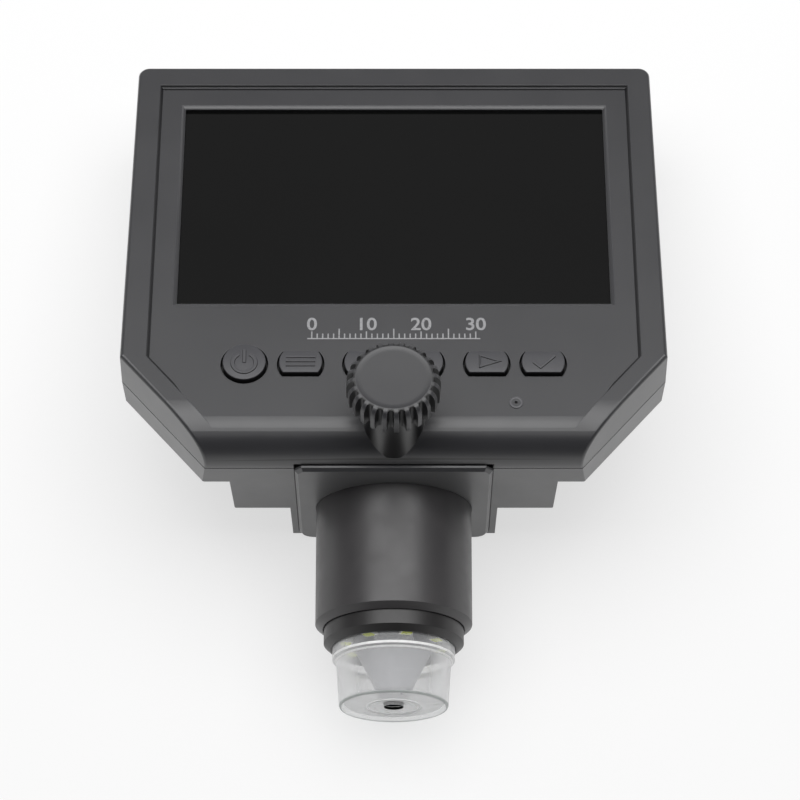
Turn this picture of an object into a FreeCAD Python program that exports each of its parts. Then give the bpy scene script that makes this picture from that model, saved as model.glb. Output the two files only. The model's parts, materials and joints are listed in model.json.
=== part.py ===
"""Handheld digital microscope with a built-in screen, lying on its back.

Frames, all in millimetres:
  row frame      X right, Y along the lens tube and away from the lens, Z up. The origin lies under
                 the middle of the whole object, on the flat back of the neck.
  display frame  X right, Y up the screen, Z out of the screen. Z = 0 is the raised border's face.
  tube frame     X right, Y up the tube, Z towards the front. The origin is where the optical axis
                 meets the housing's underside.
The screen leans back from the lens tube by the tilt.
"""
import FreeCAD, Part
import math
import os

import Sketcher

SIZES = {
    # housing outline, seen square to the screen, at the parting line
    "tilt": 12.6,
    "half_top": 59.4,
    "half_side": 60.0,
    "face_top": 93.8,
    "corner_height": 11.7,
    "corner_slope": 0.832,
    "outline_low": -16.0,
    "flare": 1.0,
    "back_draft": 2.8,
    "wall": 2.0,
    "upper_corner": 2.5,
    "edge_round": 0.8,
    # nose under the screen, which rolls round to the underside
    "nose_start": -3.4,
    "nose_radius": 8.0,
    "panel_radius": 7.6,
    # raised border round the front panel
    "recess_depth": 0.8,
    "recess_half": 54.1,
    "recess_top": 88.2,
    "recess_corner": 11.6,
    "border_roll": 16.0,
    "merge_step": 0.03,
    "groove_wide": 0.25,
    "groove_deep": 0.3,
    # stepped back
    "wide_depth": 18.0,
    "tier_depth": 34.5,
    "tier_top": 64.0,
    "tier_draft": 1.2,
    "neck_half": 23.2,
    "neck_depth": 42.4,
    "neck_draft": 0.5,
    "neck_wall": 1.6,
    "back_round": 0.5,
    # screen
    "screen_wide": 96.0,
    "screen_high": 55.3,
    "screen_mid": 54.3,
    "screen_bevel": 0.9,
    "screen_sink": 2.14,
    "glass_wide": 105.6,
    "glass_high": 67.2,
    "glass_thick": 1.7,
    "tray_thick": 1.6,
    "fit_gap": 0.15,
    # boards
    "board_thick": 1.6,
    "board_depth": 8.0,
    "board_clearance": 1.2,
    "board_low": 22.5,
    "board_high": 86.0,
    "board_tongue_half": 44.0,
    "board_tongue_high": 90.8,
    "post_low": 31.0,
    "post_high": 77.0,
    "post_radius": 1.6,
    "pilot_radius": 0.7,
    "key_board_depth": 7.3,
    "key_board_half": 41.0,
    "key_board_low": 3.6,
    "key_board_high": 17.2,
    "key_post_across": 38.9,
    "key_post_high": 15.2,
    # buttons
    "button_row": 10.04,
    "button_inner": 6.07,
    "button_middle": 20.3,
    "button_outer": 32.6,
    "button_round": 4.7,
    "button_flat": 2.8,
    "button_gap": 0.5,
    "button_proud": 1.0,
    "button_rim": 0.9,
    "button_rim_thick": 0.8,
    "button_seat": 0.1,
    "button_travel": 0.4,
    "switch_side": 6.0,
    "switch_body": 3.1,
    "plunger_radius": 1.7,
    # pinhole of the microphone
    "pinhole_across": 26.5,
    "pinhole_high": -0.2,
    "pinhole_radius": 0.35,
    "pinhole_ring": 1.5,
    "pinhole_proud": 0.25,
    "capsule_radius": 2.0,
    "capsule_thick": 1.4,
    # focus knob and its shaft
    "knob_high": -4.12,
    "knob_radius": 10.1,
    "knob_face": 8.4,
    "knob_bevel": 0.8,
    "knob_top": 15.34,
    "knob_length": 8.06,
    "flute_count": 24,
    "flute_radius": 1.05,
    "flute_depth": 1.0,
    "knob_gap": 0.3,
    "boss_top_radius": 6.4,
    "boss_foot_radius": 7.0,
    "shaft_radius": 1.5,
    "bush_radius": 3.0,
    "bush_clearance": 0.05,
    "bush_length": 12.0,
    "bush_sink": 0.6,
    "clip_thick": 0.6,
    "clip_radius": 2.9,
    # rack and pinion
    "gear_module": 0.7,
    "gear_teeth": 12,
    "pressure_angle": 20.0,
    "gear_face": 3.6,
    "gear_middle": 11.6,
    "gear_backlash": 0.12,
    "rack_addendum": 0.45,
    "rack_dedendum": 0.95,
    "rack_width": 4.0,
    "rack_floor": 8.2,
    "rack_front": 12.8,
    "rack_low": -10.6,
    # lens tube and its mount plate
    "axis_depth": 23.27,
    "tube_radius": 17.3,
    "tube_bore": 15.1,
    "tube_length": 29.46,
    "tube_end_radius": 15.8,
    "tube_end_chamfer": 1.29,
    "socket_radius": 15.56,
    "socket_depth": 3.66,
    "collar_radius": 17.1,
    "collar_top": 10.0,
    "collar_slot_half": 5.5,
    "collar_slot_low": 0.2,
    "flange_low": 2.1,
    "flange_thick": 2.0,
    "flange_half": 26.5,
    "flange_front": 21.5,
    "flange_back": -17.2,
    "plate_half": 21.5,
    "plate_proud": 1.2,
    "plate_front": 24.77,
    "plate_chamfer": 0.7,
    "plate_nip_across": 1.5,
    "plate_nip_along": 1.9,
    "plate_back_round": 3.4,
    "plate_screw_across": 18.4,
    "plate_screw_front": 18.9,
    "plate_screw_back": -13.6,
    "rib_half": 1.4,
    "rib_depth": 1.2,
    # lamp head at the end of the tube
    "head_radius": 15.41,
    "head_shoulder": 32.61,
    "head_rim_radius": 13.95,
    "head_bore": 13.57,
    "head_end": 33.94,
    "web_top": 29.3,
    "web_thick": 1.4,
    "web_hole": 8.2,
    "lamp_board_radius": 12.25,
    "lamp_board_hole": 8.2,
    "lamp_board_thick": 1.2,
    "lamp_circle": 10.8,
    "lamp_count": 8,
    "lamp_start": -7.5,
    "lamp_across": 3.4,
    "lamp_along": 2.7,
    "lamp_thick": 0.9,
    "cone_radius": 9.2,
    "cone_end_radius": 2.6,
    "cone_end": 45.9,
    "cone_wall": 0.8,
    "cone_hole": 1.55,
    "cone_rim": 0.9,
    # clear cap
    "cap_clearance": 0.08,
    "cap_spigot_top": 31.2,
    "cap_step": 37.45,
    "cap_radius": 12.6,
    "cap_end_radius": 11.96,
    "cap_end": 47.05,
    "cap_wall": 0.9,
    "cap_floor": 0.85,
    "cap_hole": 2.15,
    "cap_ring_radius": 5.7,
    "cap_ring_depth": 0.25,
    "cap_ring_width": 0.5,
    # camera carriage inside the tube
    "barrel_clearance": 0.1,
    "barrel_low": -16.0,
    "barrel_high": 18.0,
    "barrel_bore": 6.0,
    "barrel_slot_left": -5.5,
    "barrel_slot_low": -11.2,
    "holder_radius": 7.0,
    "holder_low": -21.0,
    "holder_high": -8.0,
    "holder_bore": 4.6,
    "lens_radius": 5.4,
    "lens_thick": 2.4,
    "camera_board_half": 10.0,
    "camera_board_back": -10.5,
    "camera_board_front": 7.9,
    "camera_board_thick": 1.2,
    "sensor_side": 7.0,
    "sensor_thick": 1.0,
    # battery, its bay and its cover
    "cell_radius": 9.2,
    "cell_length": 65.0,
    "cell_clearance": 0.3,
    "cell_high": 46.2,
    "bay_gap": 0.5,
    "bay_wall": 1.3,
    "bay_end_wall": 0.6,
    "contact_room": 0.9,
    "contact_thick": 0.4,
    "contact_side": 12.0,
    "contact_spring": 2.4,
    "cover_rail": 4.2,
    "cover_low": 36.2,
    "cover_skin": 0.9,
    "cover_tongue": 1.2,
    "cover_gap": 0.15,
    # things on the top edge
    "usb_across": -24.0,
    "usb_wide": 7.6,
    "usb_deep": 5.2,
    "usb_high": 2.6,
    "card_across": 4.0,
    "card_wide": 14.2,
    "card_deep": 14.8,
    "card_high": 1.9,
    "mouth_gap": 0.4,
    "wheel_across": 32.0,
    "wheel_radius": 7.0,
    "wheel_thick": 2.4,
    "wheel_proud": 1.5,
    "wheel_gap": 0.5,
    "wheel_axle": 1.2,
    "wheel_notches": 24,
    "pot_wide": 11.0,
    "pot_high": 1.3,
    # screws
    "case_post_top_across": 47.0,
    "case_post_top_high": 89.6,
    "case_post_low_across": 49.0,
    "case_post_low_high": 12.6,
    "case_post_radius": 2.1,
    "case_post_low_radius": 3.0,
    "screw_radius": 1.0,
    "screw_head_radius": 1.9,
    "screw_head_thick": 1.2,
    "case_screw_sink": 2.6,
    "case_screw_length": 12.0,
}

SHEET = "Sizes"


class Size:
    """A size of the sheet, or a sum of some: its number now and the expression behind it."""

    def __init__(self, number, text):
        self.number = float(number)
        self.text = text

    def __add__(self, other):
        other = as_size(other)
        return Size(self.number + other.number, "(%s + %s)" % (self.text, other.text))

    def __sub__(self, other):
        other = as_size(other)
        return Size(self.number - other.number, "(%s - %s)" % (self.text, other.text))

    def __mul__(self, other):
        other = as_size(other)
        return Size(self.number * other.number, "(%s * %s)" % (self.text, other.text))

    def __truediv__(self, other):
        other = as_size(other)
        return Size(self.number / other.number, "(%s / %s)" % (self.text, other.text))

    def __neg__(self):
        return Size(-self.number, "(0 - %s)" % self.text)

    __radd__ = __add__
    __rmul__ = __mul__

    def __rsub__(self, other):
        return as_size(other) - self


def as_size(value):
    """Turn a bare number into a Size, and leave a Size as it is."""
    if isinstance(value, Size):
        return value
    return Size(value, repr(float(value)))


def cosine(angle):
    return Size(math.cos(math.radians(angle.number)), "cos(%s * 1 deg)" % angle.text)


def sine(angle):
    return Size(math.sin(math.radians(angle.number)), "sin(%s * 1 deg)" % angle.text)


def tangent(angle):
    return Size(math.tan(math.radians(angle.number)), "tan(%s * 1 deg)" % angle.text)


def root(value):
    return Size(math.sqrt(value.number), "sqrt(%s)" % value.text)


def smaller(first, second):
    number = min(first.number, second.number)
    return Size(number, "min(%s; %s)" % (first.text, second.text))


class Sheet:
    """The spreadsheet of driving sizes. Each alias is read back as a Size."""

    def __init__(self, document, table):
        self.cells = document.addObject("Spreadsheet::Sheet", SHEET)
        for row, (name, value) in enumerate(table.items(), start=1):
            self.cells.set("A%d" % row, name)
            self.cells.set("B%d" % row, repr(value))
            self.cells.setAlias("B%d" % row, name)
        document.recompute()

    def __getattr__(self, name):
        return Size(self.cells.get(name), "%s.%s" % (SHEET, name))


doc = FreeCAD.newDocument("Microscope")
S = Sheet(doc, SIZES)
ZERO = as_size(0)
FAR = as_size(90)
SUBPARTS = []


def bind(thing, prop, value):
    """Bind a property to the sheet, or set it if the value is a bare number."""
    value = as_size(value)
    thing.setExpression(prop, value.text)


# Where the rounded nose ends and the flat underside begins, in the display frame
COS, SIN = cosine(S.tilt), sine(S.tilt)
EDGE_Y = S.nose_start - S.nose_radius * COS
EDGE_Z = -(S.nose_radius + S.nose_radius * SIN)
PARTING = S.recess_depth + S.panel_radius * (1 + SIN)
PANEL_MID_Z = -(S.recess_depth + S.panel_radius)
PANEL_MID_Y = EDGE_Y + (S.panel_radius - (PANEL_MID_Z - EDGE_Z) * SIN) / COS
# The optical axis on the underside, in the display frame
AXIS_Y = EDGE_Y + S.axis_depth * SIN
AXIS_Z = EDGE_Z - S.axis_depth * COS
# The row's origin is under the middle of the whole length
TOP_REACH = (
    (S.face_top - PARTING * tangent(S.flare) - S.edge_round - EDGE_Y) * COS
    + (-S.edge_round - EDGE_Z) * SIN
    + S.edge_round
)
MIDDLE = (S.cap_end - TOP_REACH) / 2
# The border rolls over on a wide arc and meets the panel's nose, a hair inside it, at the merge point
NOSE_RADIUS = S.panel_radius - S.merge_step
NOSE_MID_Y = EDGE_Y + (NOSE_RADIUS - (PANEL_MID_Z - EDGE_Z) * SIN) / COS
ROLL_DROP = S.recess_depth + S.merge_step
ROLL_SPAN = S.border_roll - NOSE_RADIUS
ROLL_RUN = root(2 * ROLL_DROP * ROLL_SPAN - ROLL_DROP * ROLL_DROP)
ROLL_MID_Y = NOSE_MID_Y + ROLL_RUN
MERGE_Y = ROLL_MID_Y - S.border_roll * ROLL_RUN / ROLL_SPAN
MERGE_Z = -S.border_roll + S.border_roll * (ROLL_SPAN - ROLL_DROP) / ROLL_SPAN
# The battery tier holds the cell with a contact at each end, and the cell lies on its cover
TIER_HALF = S.cell_length / 2 + S.contact_room + S.bay_end_wall + S.wall
COVER_HALF = TIER_HALF - S.cover_rail
CELL_DEPTH = S.tier_depth - S.cover_skin - S.cover_tongue - S.cell_clearance - S.cell_radius
# The main board spans the shell at its narrower end
BOARD_HALF = smaller(S.half_top, S.half_side) - S.wall - S.board_clearance
POST_ACROSS = BOARD_HALF - S.post_radius


class Frame:
    """A frame turned about X by an angle and moved along Y and Z."""

    def __init__(self, angle, y, z):
        self.angle = angle
        self.y = y
        self.z = z

    def place(self, thing):
        thing.Placement = FreeCAD.Placement(
            FreeCAD.Vector(0, 0, 0), FreeCAD.Rotation(FreeCAD.Vector(1, 0, 0), self.angle.number or 1e-3)
        )
        bind(thing, ".Placement.Base.y", self.y)
        bind(thing, ".Placement.Base.z", self.z)
        bind(thing, ".Placement.Rotation.Angle", self.angle)


DISPLAY = Frame(
    -S.tilt,
    MIDDLE - (EDGE_Y * COS + EDGE_Z * SIN),
    S.neck_depth + EDGE_Y * SIN - EDGE_Z * COS,
)
TUBE = Frame(ZERO, MIDDLE, S.neck_depth - S.axis_depth)
TUBE_IN_DISPLAY = Frame(S.tilt, AXIS_Y, AXIS_Z)
# The display frame's origin, seen from the tube frame
FACE_Y = -(AXIS_Y * COS + AXIS_Z * SIN)
FACE_Z = AXIS_Y * SIN - AXIS_Z * COS
DISPLAY_IN_TUBE = Frame(-S.tilt, FACE_Y, FACE_Z)


class Bend:
    """An arc that leaves a vertex: its radius, and +1 if it bulges left of the way it goes."""

    def __init__(self, radius, side):
        self.radius = radius
        self.side = side

    def middle(self, start, end):
        """The point halfway along an arc of less than a half circle."""
        chord = end - start
        half = chord.Length / 2
        sag = self.radius.number - math.sqrt(max(self.radius.number ** 2 - half ** 2, 0))
        left = FreeCAD.Vector(-chord.y, chord.x, 0).normalize()
        return (start + end) * 0.5 + left * sag * self.side


def new_body(name):
    return doc.addObject("PartDesign::Body", name)


def new_sketch(body, name, plane, height=ZERO):
    """An empty sketch on one of the body's own origin planes, raised by a height."""
    sketch = body.newObject("Sketcher::SketchObject", name)
    base = [item for item in body.Origin.OriginFeatures if item.Role == plane][0]
    sketch.AttachmentSupport = [(base, "")]
    sketch.MapMode = "FlatFace"
    bind(sketch, ".AttachmentOffset.Base.z", height)
    return sketch


def end_at(sketch, edge, point):
    """Which end of a sketch edge lies at a point, 1 or 2."""
    if (sketch.getPoint(edge, 1) - point).Length < 1e-6:
        return 1
    return 2


def pin_vertex(sketch, edge, position, x, y):
    """Hold one end of an edge at bound distances from the sketch's origin."""
    for kind, value in (("DistanceX", x), ("DistanceY", y)):
        index = sketch.addConstraint(Sketcher.Constraint(kind, -1, 1, edge, position, value.number))
        sketch.setExpression("Constraints[%d]" % index, value.text)


def draw_path(sketch, path):
    """Draw a closed outline. Each vertex is (x, y) or (x, y, Bend) for an arc that leaves it."""
    corners = [(as_size(item[0]), as_size(item[1])) for item in path]
    bends = [item[2] if len(item) > 2 else None for item in path]
    points = [FreeCAD.Vector(x.number, y.number, 0) for x, y in corners]
    edges = []
    for index, start in enumerate(points):
        end = points[(index + 1) % len(points)]
        if bends[index] is None:
            shape = Part.LineSegment(start, end)
        else:
            shape = Part.Arc(start, bends[index].middle(start, end), end)
        edges.append(sketch.addGeometry(shape, False))
    for index, edge in enumerate(edges):
        follower = edges[(index + 1) % len(edges)]
        corner = points[(index + 1) % len(points)]
        pin_vertex(sketch, edge, end_at(sketch, edge, points[index]), *corners[index])
        joined = Sketcher.Constraint(
            "Coincident", edge, end_at(sketch, edge, corner), follower, end_at(sketch, follower, corner)
        )
        sketch.addConstraint(joined)
        if bends[index] is not None:
            radius = sketch.addConstraint(Sketcher.Constraint("Radius", edge, bends[index].radius.number))
            sketch.setExpression("Constraints[%d]" % radius, bends[index].radius.text)
    return sketch


def draw_circle(sketch, x, y, radius):
    """Draw a circle with a bound middle and radius."""
    x, y, radius = as_size(x), as_size(y), as_size(radius)
    circle = Part.Circle(FreeCAD.Vector(x.number, y.number, 0), FreeCAD.Vector(0, 0, 1), radius.number)
    edge = sketch.addGeometry(circle, False)
    pin_vertex(sketch, edge, 3, x, y)
    index = sketch.addConstraint(Sketcher.Constraint("Radius", edge, radius.number))
    sketch.setExpression("Constraints[%d]" % index, radius.text)
    return sketch


def pad(body, sketch, length, backward=False, taper=None):
    feature = body.newObject("PartDesign::Pad", sketch.Name + "_pad")
    feature.Profile = sketch
    bind(feature, "Length", length)
    feature.Reversed = backward
    if taper is not None:
        bind(feature, "TaperAngle", taper)
    return feature


def cut_across(body, name, path):
    """Cut a side outline, drawn in the YZ plane, through the whole width of a body."""
    sketch = draw_path(new_sketch(body, name, "YZ_Plane", -FAR), path)
    feature = body.newObject("PartDesign::Pocket", name + "_cut")
    feature.Profile = sketch
    feature.Reversed = True
    bind(feature, "Length", 2 * FAR)
    return feature


def prism(name, plane, path, start, length, taper=None, backward=False):
    """A body padded from one outline."""
    body = new_body(name)
    sketch = draw_path(new_sketch(body, name + "_outline", plane, start), path)
    pad(body, sketch, length, backward, taper)
    return body


def turned(name, path, plane="XY_Plane"):
    """A body turned about the Y axis from a half section, drawn as (radius, height)."""
    body = new_body(name)
    sketch = draw_path(new_sketch(body, name + "_section", plane), path)
    feature = body.newObject("PartDesign::Revolution", name + "_turn")
    feature.Profile = sketch
    feature.ReferenceAxis = (sketch, ["V_Axis"])
    feature.Angle = 360
    return body


def block(name, low, high):
    """A box between two corners."""
    low = [as_size(value) for value in low]
    high = [as_size(value) for value in high]
    box = doc.addObject("Part::Box", name)
    for prop, first, last in zip(("Length", "Width", "Height"), low, high):
        bind(box, prop, last - first)
    for prop, value in zip("xyz", low):
        bind(box, ".Placement.Base." + prop, value)
    return box


def pillar(name, x, y, radius, low, high, top_radius=None):
    """A cylinder along Z between two heights, or a cone if the top radius differs."""
    low, high = as_size(low), as_size(high)
    if top_radius is None:
        shape = doc.addObject("Part::Cylinder", name)
        bind(shape, "Radius", radius)
    else:
        shape = doc.addObject("Part::Cone", name)
        bind(shape, "Radius1", radius)
        bind(shape, "Radius2", top_radius)
    bind(shape, "Height", high - low)
    for prop, value in zip("xyz", (x, y, low)):
        bind(shape, ".Placement.Base." + prop, value)
    return shape


def spindle(name, x, z, radius, low, high):
    """A cylinder along Y between two heights."""
    low, high = as_size(low), as_size(high)
    shape = doc.addObject("Part::Cylinder", name)
    shape.Placement.Rotation = FreeCAD.Rotation(FreeCAD.Vector(1, 0, 0), -90)
    bind(shape, "Radius", radius)
    bind(shape, "Height", high - low)
    for prop, value in zip("xyz", (x, low, z)):
        bind(shape, ".Placement.Base." + prop, value)
    return shape


def fuse(name, pieces):
    """Join pieces into one solid. A single piece is only wrapped, so that it can be moved."""
    pieces = list(pieces)
    if len(pieces) == 1:
        return group(name, pieces)
    joined = doc.addObject("Part::MultiFuse", name)
    joined.Shapes = pieces
    joined.Refine = True
    return joined


def common(name, pieces):
    shared = doc.addObject("Part::MultiCommon", name)
    shared.Shapes = list(pieces)
    return shared


def cut(name, base, tools):
    """The base with every tool cut away."""
    tools = list(tools)
    tool = tools[0] if len(tools) == 1 else fuse(name + "_tools", tools)
    rest = doc.addObject("Part::Cut", name)
    rest.Base = base
    rest.Tool = tool
    return rest


def group(name, pieces):
    """Separate solids that share one node."""
    bundle = doc.addObject("Part::Compound", name)
    bundle.Links = list(pieces)
    return bundle


def in_frame(thing, frame):
    frame.place(thing)
    return thing


def subpart(thing, label, frame):
    """Name a finished sub-part and put it where its frame lies in the row."""
    frame.place(thing)
    thing.Label = label
    SUBPARTS.append(thing)
    return thing


def round_edges(name, base, radius, test):
    """Round the edges of a shape that pass a test of their two end points."""
    doc.recompute()
    picked = []
    for index, edge in enumerate(base.Shape.Edges, start=1):
        ends = [vertex.Point for vertex in edge.Vertexes]
        if len(ends) == 2 and test(*ends):
            picked.append((index, radius.number, radius.number))
    rounded = doc.addObject("Part::Fillet", name)
    rounded.Base = base
    rounded.Edges = picked
    return rounded


def mirrored_pairs(values):
    """Left and right places for each value."""
    return [sign * value for value in values for sign in (-1, 1)]


def outline(inset):
    """The housing's outline square to the screen, drawn in from its edge by an inset."""
    slant = root(1 + S.corner_slope * S.corner_slope)
    corner = S.corner_height + inset * (slant - 1) / S.corner_slope
    low_half = S.half_side - S.corner_slope * (S.corner_height - S.outline_low) - inset * slant
    top = S.face_top - inset
    return [
        (S.half_top - inset, top),
        (-(S.half_top - inset), top),
        (-(S.half_side - inset), corner),
        (-low_half, S.outline_low),
        (low_half, S.outline_low),
        (S.half_side - inset, corner),
    ]


def nose_waste(mid_y, mid_z, radius, clear_above):
    """All that lies outside the rounded nose and under the underside, in the YZ plane."""
    end_y = mid_y - radius * COS
    end_z = mid_z - radius * SIN
    return [
        (mid_y, mid_z + radius, Bend(radius, -1)),
        (end_y, end_z),
        (end_y + FAR * SIN, end_z - FAR * COS),
        (end_y + FAR * SIN - FAR * COS, end_z - FAR * COS - FAR * SIN),
        (-FAR, end_z),
        (-FAR, mid_z + radius + clear_above),
        (mid_y, mid_z + radius + clear_above),
    ]


def front_mass():
    """The front cover's outer form, solid."""
    body = new_body("front_mass")
    sketch = draw_path(new_sketch(body, "front_outline", "XY_Plane", -PARTING), outline(ZERO))
    pad(body, sketch, PARTING, taper=-S.flare)
    nose = nose_waste(NOSE_MID_Y, PANEL_MID_Z, NOSE_RADIUS, as_size(5))
    roll = [(ROLL_MID_Y, 0, Bend(S.border_roll, -1)), (MERGE_Y, MERGE_Z, Bend(NOSE_RADIUS, -1))]
    above = [(-FAR, 5), (ROLL_MID_Y, 5)]
    cut_across(body, "nose_outline", roll + nose[1:5] + above)
    top = S.face_top.number - 3
    half = S.half_top.number - 2
    underside = EDGE_Z.number - 0.05

    def corner_edge(first, last):
        upright = abs(first.z - last.z) > 5
        return upright and min(first.y, last.y) > top and min(abs(first.x), abs(last.x)) > half

    def face_edge(first, last):
        flat = abs(first.z) < 1e-4 and abs(last.z) < 1e-4
        crossing = first.x * last.x < 0
        nose_side = not crossing and max(first.y, last.y) < 1 and min(first.z, last.z) > underside
        return (flat and (first.y > 50 or not crossing)) or nose_side

    cornered = round_edges("front_corners", body, S.upper_corner, corner_edge)
    return round_edges("front_rounded", cornered, S.edge_round, face_edge)


def panel_recess():
    """What is taken off the front to leave the border standing, down to where it dies out."""
    low_half = S.recess_half - S.corner_slope * (S.recess_corner - S.outline_low)
    shape = [
        (S.recess_half, S.recess_top),
        (-S.recess_half, S.recess_top),
        (-S.recess_half, S.recess_corner),
        (-low_half, S.outline_low),
        (low_half, S.outline_low),
        (S.recess_half, S.recess_corner),
    ]
    plan = prism("recess_plan", "XY_Plane", shape, -PARTING - 2, PARTING + 6)
    aside = S.panel_radius / root(as_size(2))
    section = [
        (FAR + FAR, 4),
        (FAR + FAR, -S.recess_depth),
        (PANEL_MID_Y, -S.recess_depth, Bend(S.panel_radius, -1)),
        (PANEL_MID_Y - aside, PANEL_MID_Z + aside),
        (PANEL_MID_Y - aside, 4),
    ]
    return common("panel_recess", [plan, prism("recess_side", "YZ_Plane", section, -FAR, 2 * FAR)])


def front_cavity():
    """The hollow of the front cover, open at the parting line."""
    body = new_body("front_cavity")
    sketch = draw_path(new_sketch(body, "front_cavity_outline", "XY_Plane", -PARTING - 1), outline(S.wall))
    pad(body, sketch, PARTING + 1 - S.recess_depth - S.wall)
    nose = nose_waste(PANEL_MID_Y, PANEL_MID_Z, S.panel_radius - S.wall, as_size(5))
    cut_across(body, "front_cavity_nose", nose)
    return body


def rectangle(half_wide, low, high):
    return [(half_wide, low), (half_wide, high), (-half_wide, high), (-half_wide, low)]


def screen_opening():
    """The bevelled window, and the step behind it that holds the glass."""
    low = S.screen_mid - S.screen_high / 2
    high = S.screen_mid + S.screen_high / 2
    half = S.screen_wide / 2
    sink = S.screen_sink - S.recess_depth
    slope = Size(
        math.degrees(math.atan(S.screen_bevel.number / sink.number)),
        "(atan(%s / %s) / 1 deg)" % (S.screen_bevel.text, sink.text),
    )
    bevel = prism("window_bevel", "XY_Plane", rectangle(half, low, high), -S.screen_sink, sink, slope)
    above = prism(
        "window_clear", "XY_Plane",
        rectangle(half + S.screen_bevel, low - S.screen_bevel, high + S.screen_bevel),
        -S.recess_depth, as_size(3),
    )
    hole = prism("window_hole", "XY_Plane", rectangle(half, low, high), -S.screen_sink - 3, as_size(3))
    seat_half = S.glass_wide / 2 + S.fit_gap
    seat_high = S.glass_high / 2 + S.fit_gap
    seat = prism(
        "window_seat", "XY_Plane",
        rectangle(seat_half, S.screen_mid - seat_high, S.screen_mid + seat_high),
        -S.screen_sink, as_size(4), backward=True,
    )
    return [bevel, above, hole, seat]


def button_outline(x, radius, flat):
    """A circle cut off above and below, or the full circle if flat is None."""
    reach = root(radius * radius - flat * flat)
    low = S.button_row - flat
    high = S.button_row + flat
    return [
        (x + reach, low, Bend(radius, -1)),
        (x + reach, high),
        (x - reach, high, Bend(radius, -1)),
        (x - reach, low),
    ]


BUTTONS = [
    ("power_button", -S.button_outer, True),
    ("menu_button", -S.button_middle, False),
    ("zoom_out_button", -S.button_inner, False),
    ("zoom_in_button", S.button_inner, False),
    ("play_button", S.button_middle, False),
    ("confirm_button", S.button_outer, False),
]


def button_bar(name, x, is_round, grow, start, length):
    """A bar with a button's outline, grown all round, from a start height upward."""
    body = new_body(name)
    sketch = new_sketch(body, name + "_outline", "XY_Plane", start)
    radius = S.button_round + grow
    if is_round:
        draw_circle(sketch, x, S.button_row, radius)
    else:
        draw_path(sketch, button_outline(x, radius, S.button_flat + grow))
    pad(body, sketch, length)
    return body


PANEL_BACK = -(S.recess_depth + S.wall)
POSTS = [(x, y) for x in mirrored_pairs([POST_ACROSS]) for y in (S.post_low, S.post_high)]
KEY_POSTS = [(x, S.key_post_high) for x in mirrored_pairs([S.key_post_across])]
CASE_POSTS = [
    (x, y, radius)
    for across, y, radius in (
        (S.case_post_top_across, S.case_post_top_high, S.case_post_radius),
        (S.case_post_low_across, S.case_post_low_high, S.case_post_low_radius),
    )
    for x in mirrored_pairs([across])
]
BOSS_TOP = S.knob_top - S.knob_length - S.knob_gap
BUSH_TOP = BOSS_TOP - S.bush_sink
BUSH_LOW = BUSH_TOP - S.bush_length
WHEEL_MID = S.face_top + S.wheel_proud - S.wheel_radius
BOARD_BACK = -(S.board_depth + S.board_thick)
WHEEL_LOW = BOARD_BACK - S.pot_high - S.fit_gap - S.wheel_thick
POT_BACK = BOARD_BACK - S.pot_high


def plate_opening(name):
    """The rectangular opening in the underside that the mount plate fills."""
    opening = block(
        name,
        (-(S.plate_half + S.fit_gap), -4, -(S.neck_depth - S.neck_wall - S.axis_depth) + S.fit_gap),
        (S.plate_half + S.fit_gap, S.wall + 1.5, S.plate_front + S.fit_gap),
    )
    return in_frame(fuse(name + "_placed", [opening]), TUBE_IN_DISPLAY)


def top_mouths(tag):
    """The openings in the top edge for the charging socket, the card and the brightness wheel."""
    gap = S.mouth_gap
    top = S.face_top + 3
    inside = S.face_top - S.wall - 1
    usb = block(
        "usb_mouth_" + tag,
        (S.usb_across - S.usb_wide / 2 - gap, inside, BOARD_BACK - S.usb_high - gap),
        (S.usb_across + S.usb_wide / 2 + gap, top, BOARD_BACK + gap),
    )
    card = block(
        "card_mouth_" + tag,
        (S.card_across - S.card_wide / 2 - gap, inside, BOARD_BACK - S.card_high - gap),
        (S.card_across + S.card_wide / 2 + gap, top, BOARD_BACK + gap),
    )
    wheel = pillar(
        "wheel_mouth_" + tag, S.wheel_across, WHEEL_MID, S.wheel_radius + S.wheel_gap,
        WHEEL_LOW - S.wheel_gap, POT_BACK + S.fit_gap,
    )
    return [usb, card, wheel]


def parting_groove():
    """The thin groove that runs round the housing where its two covers meet."""
    ring = cut(
        "groove_ring",
        prism("groove_outer", "XY_Plane", outline(as_size(-2)), -PARTING, S.groove_wide),
        [prism("groove_inner", "XY_Plane", outline(S.groove_deep), -PARTING, S.groove_wide)],
    )
    under = block(
        "groove_under",
        (-FAR, -FAR, -PARTING),
        (FAR, EDGE_Y + (EDGE_Z + PARTING) * SIN / COS + S.groove_deep, S.groove_wide - PARTING),
    )
    return [ring, under]


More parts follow.
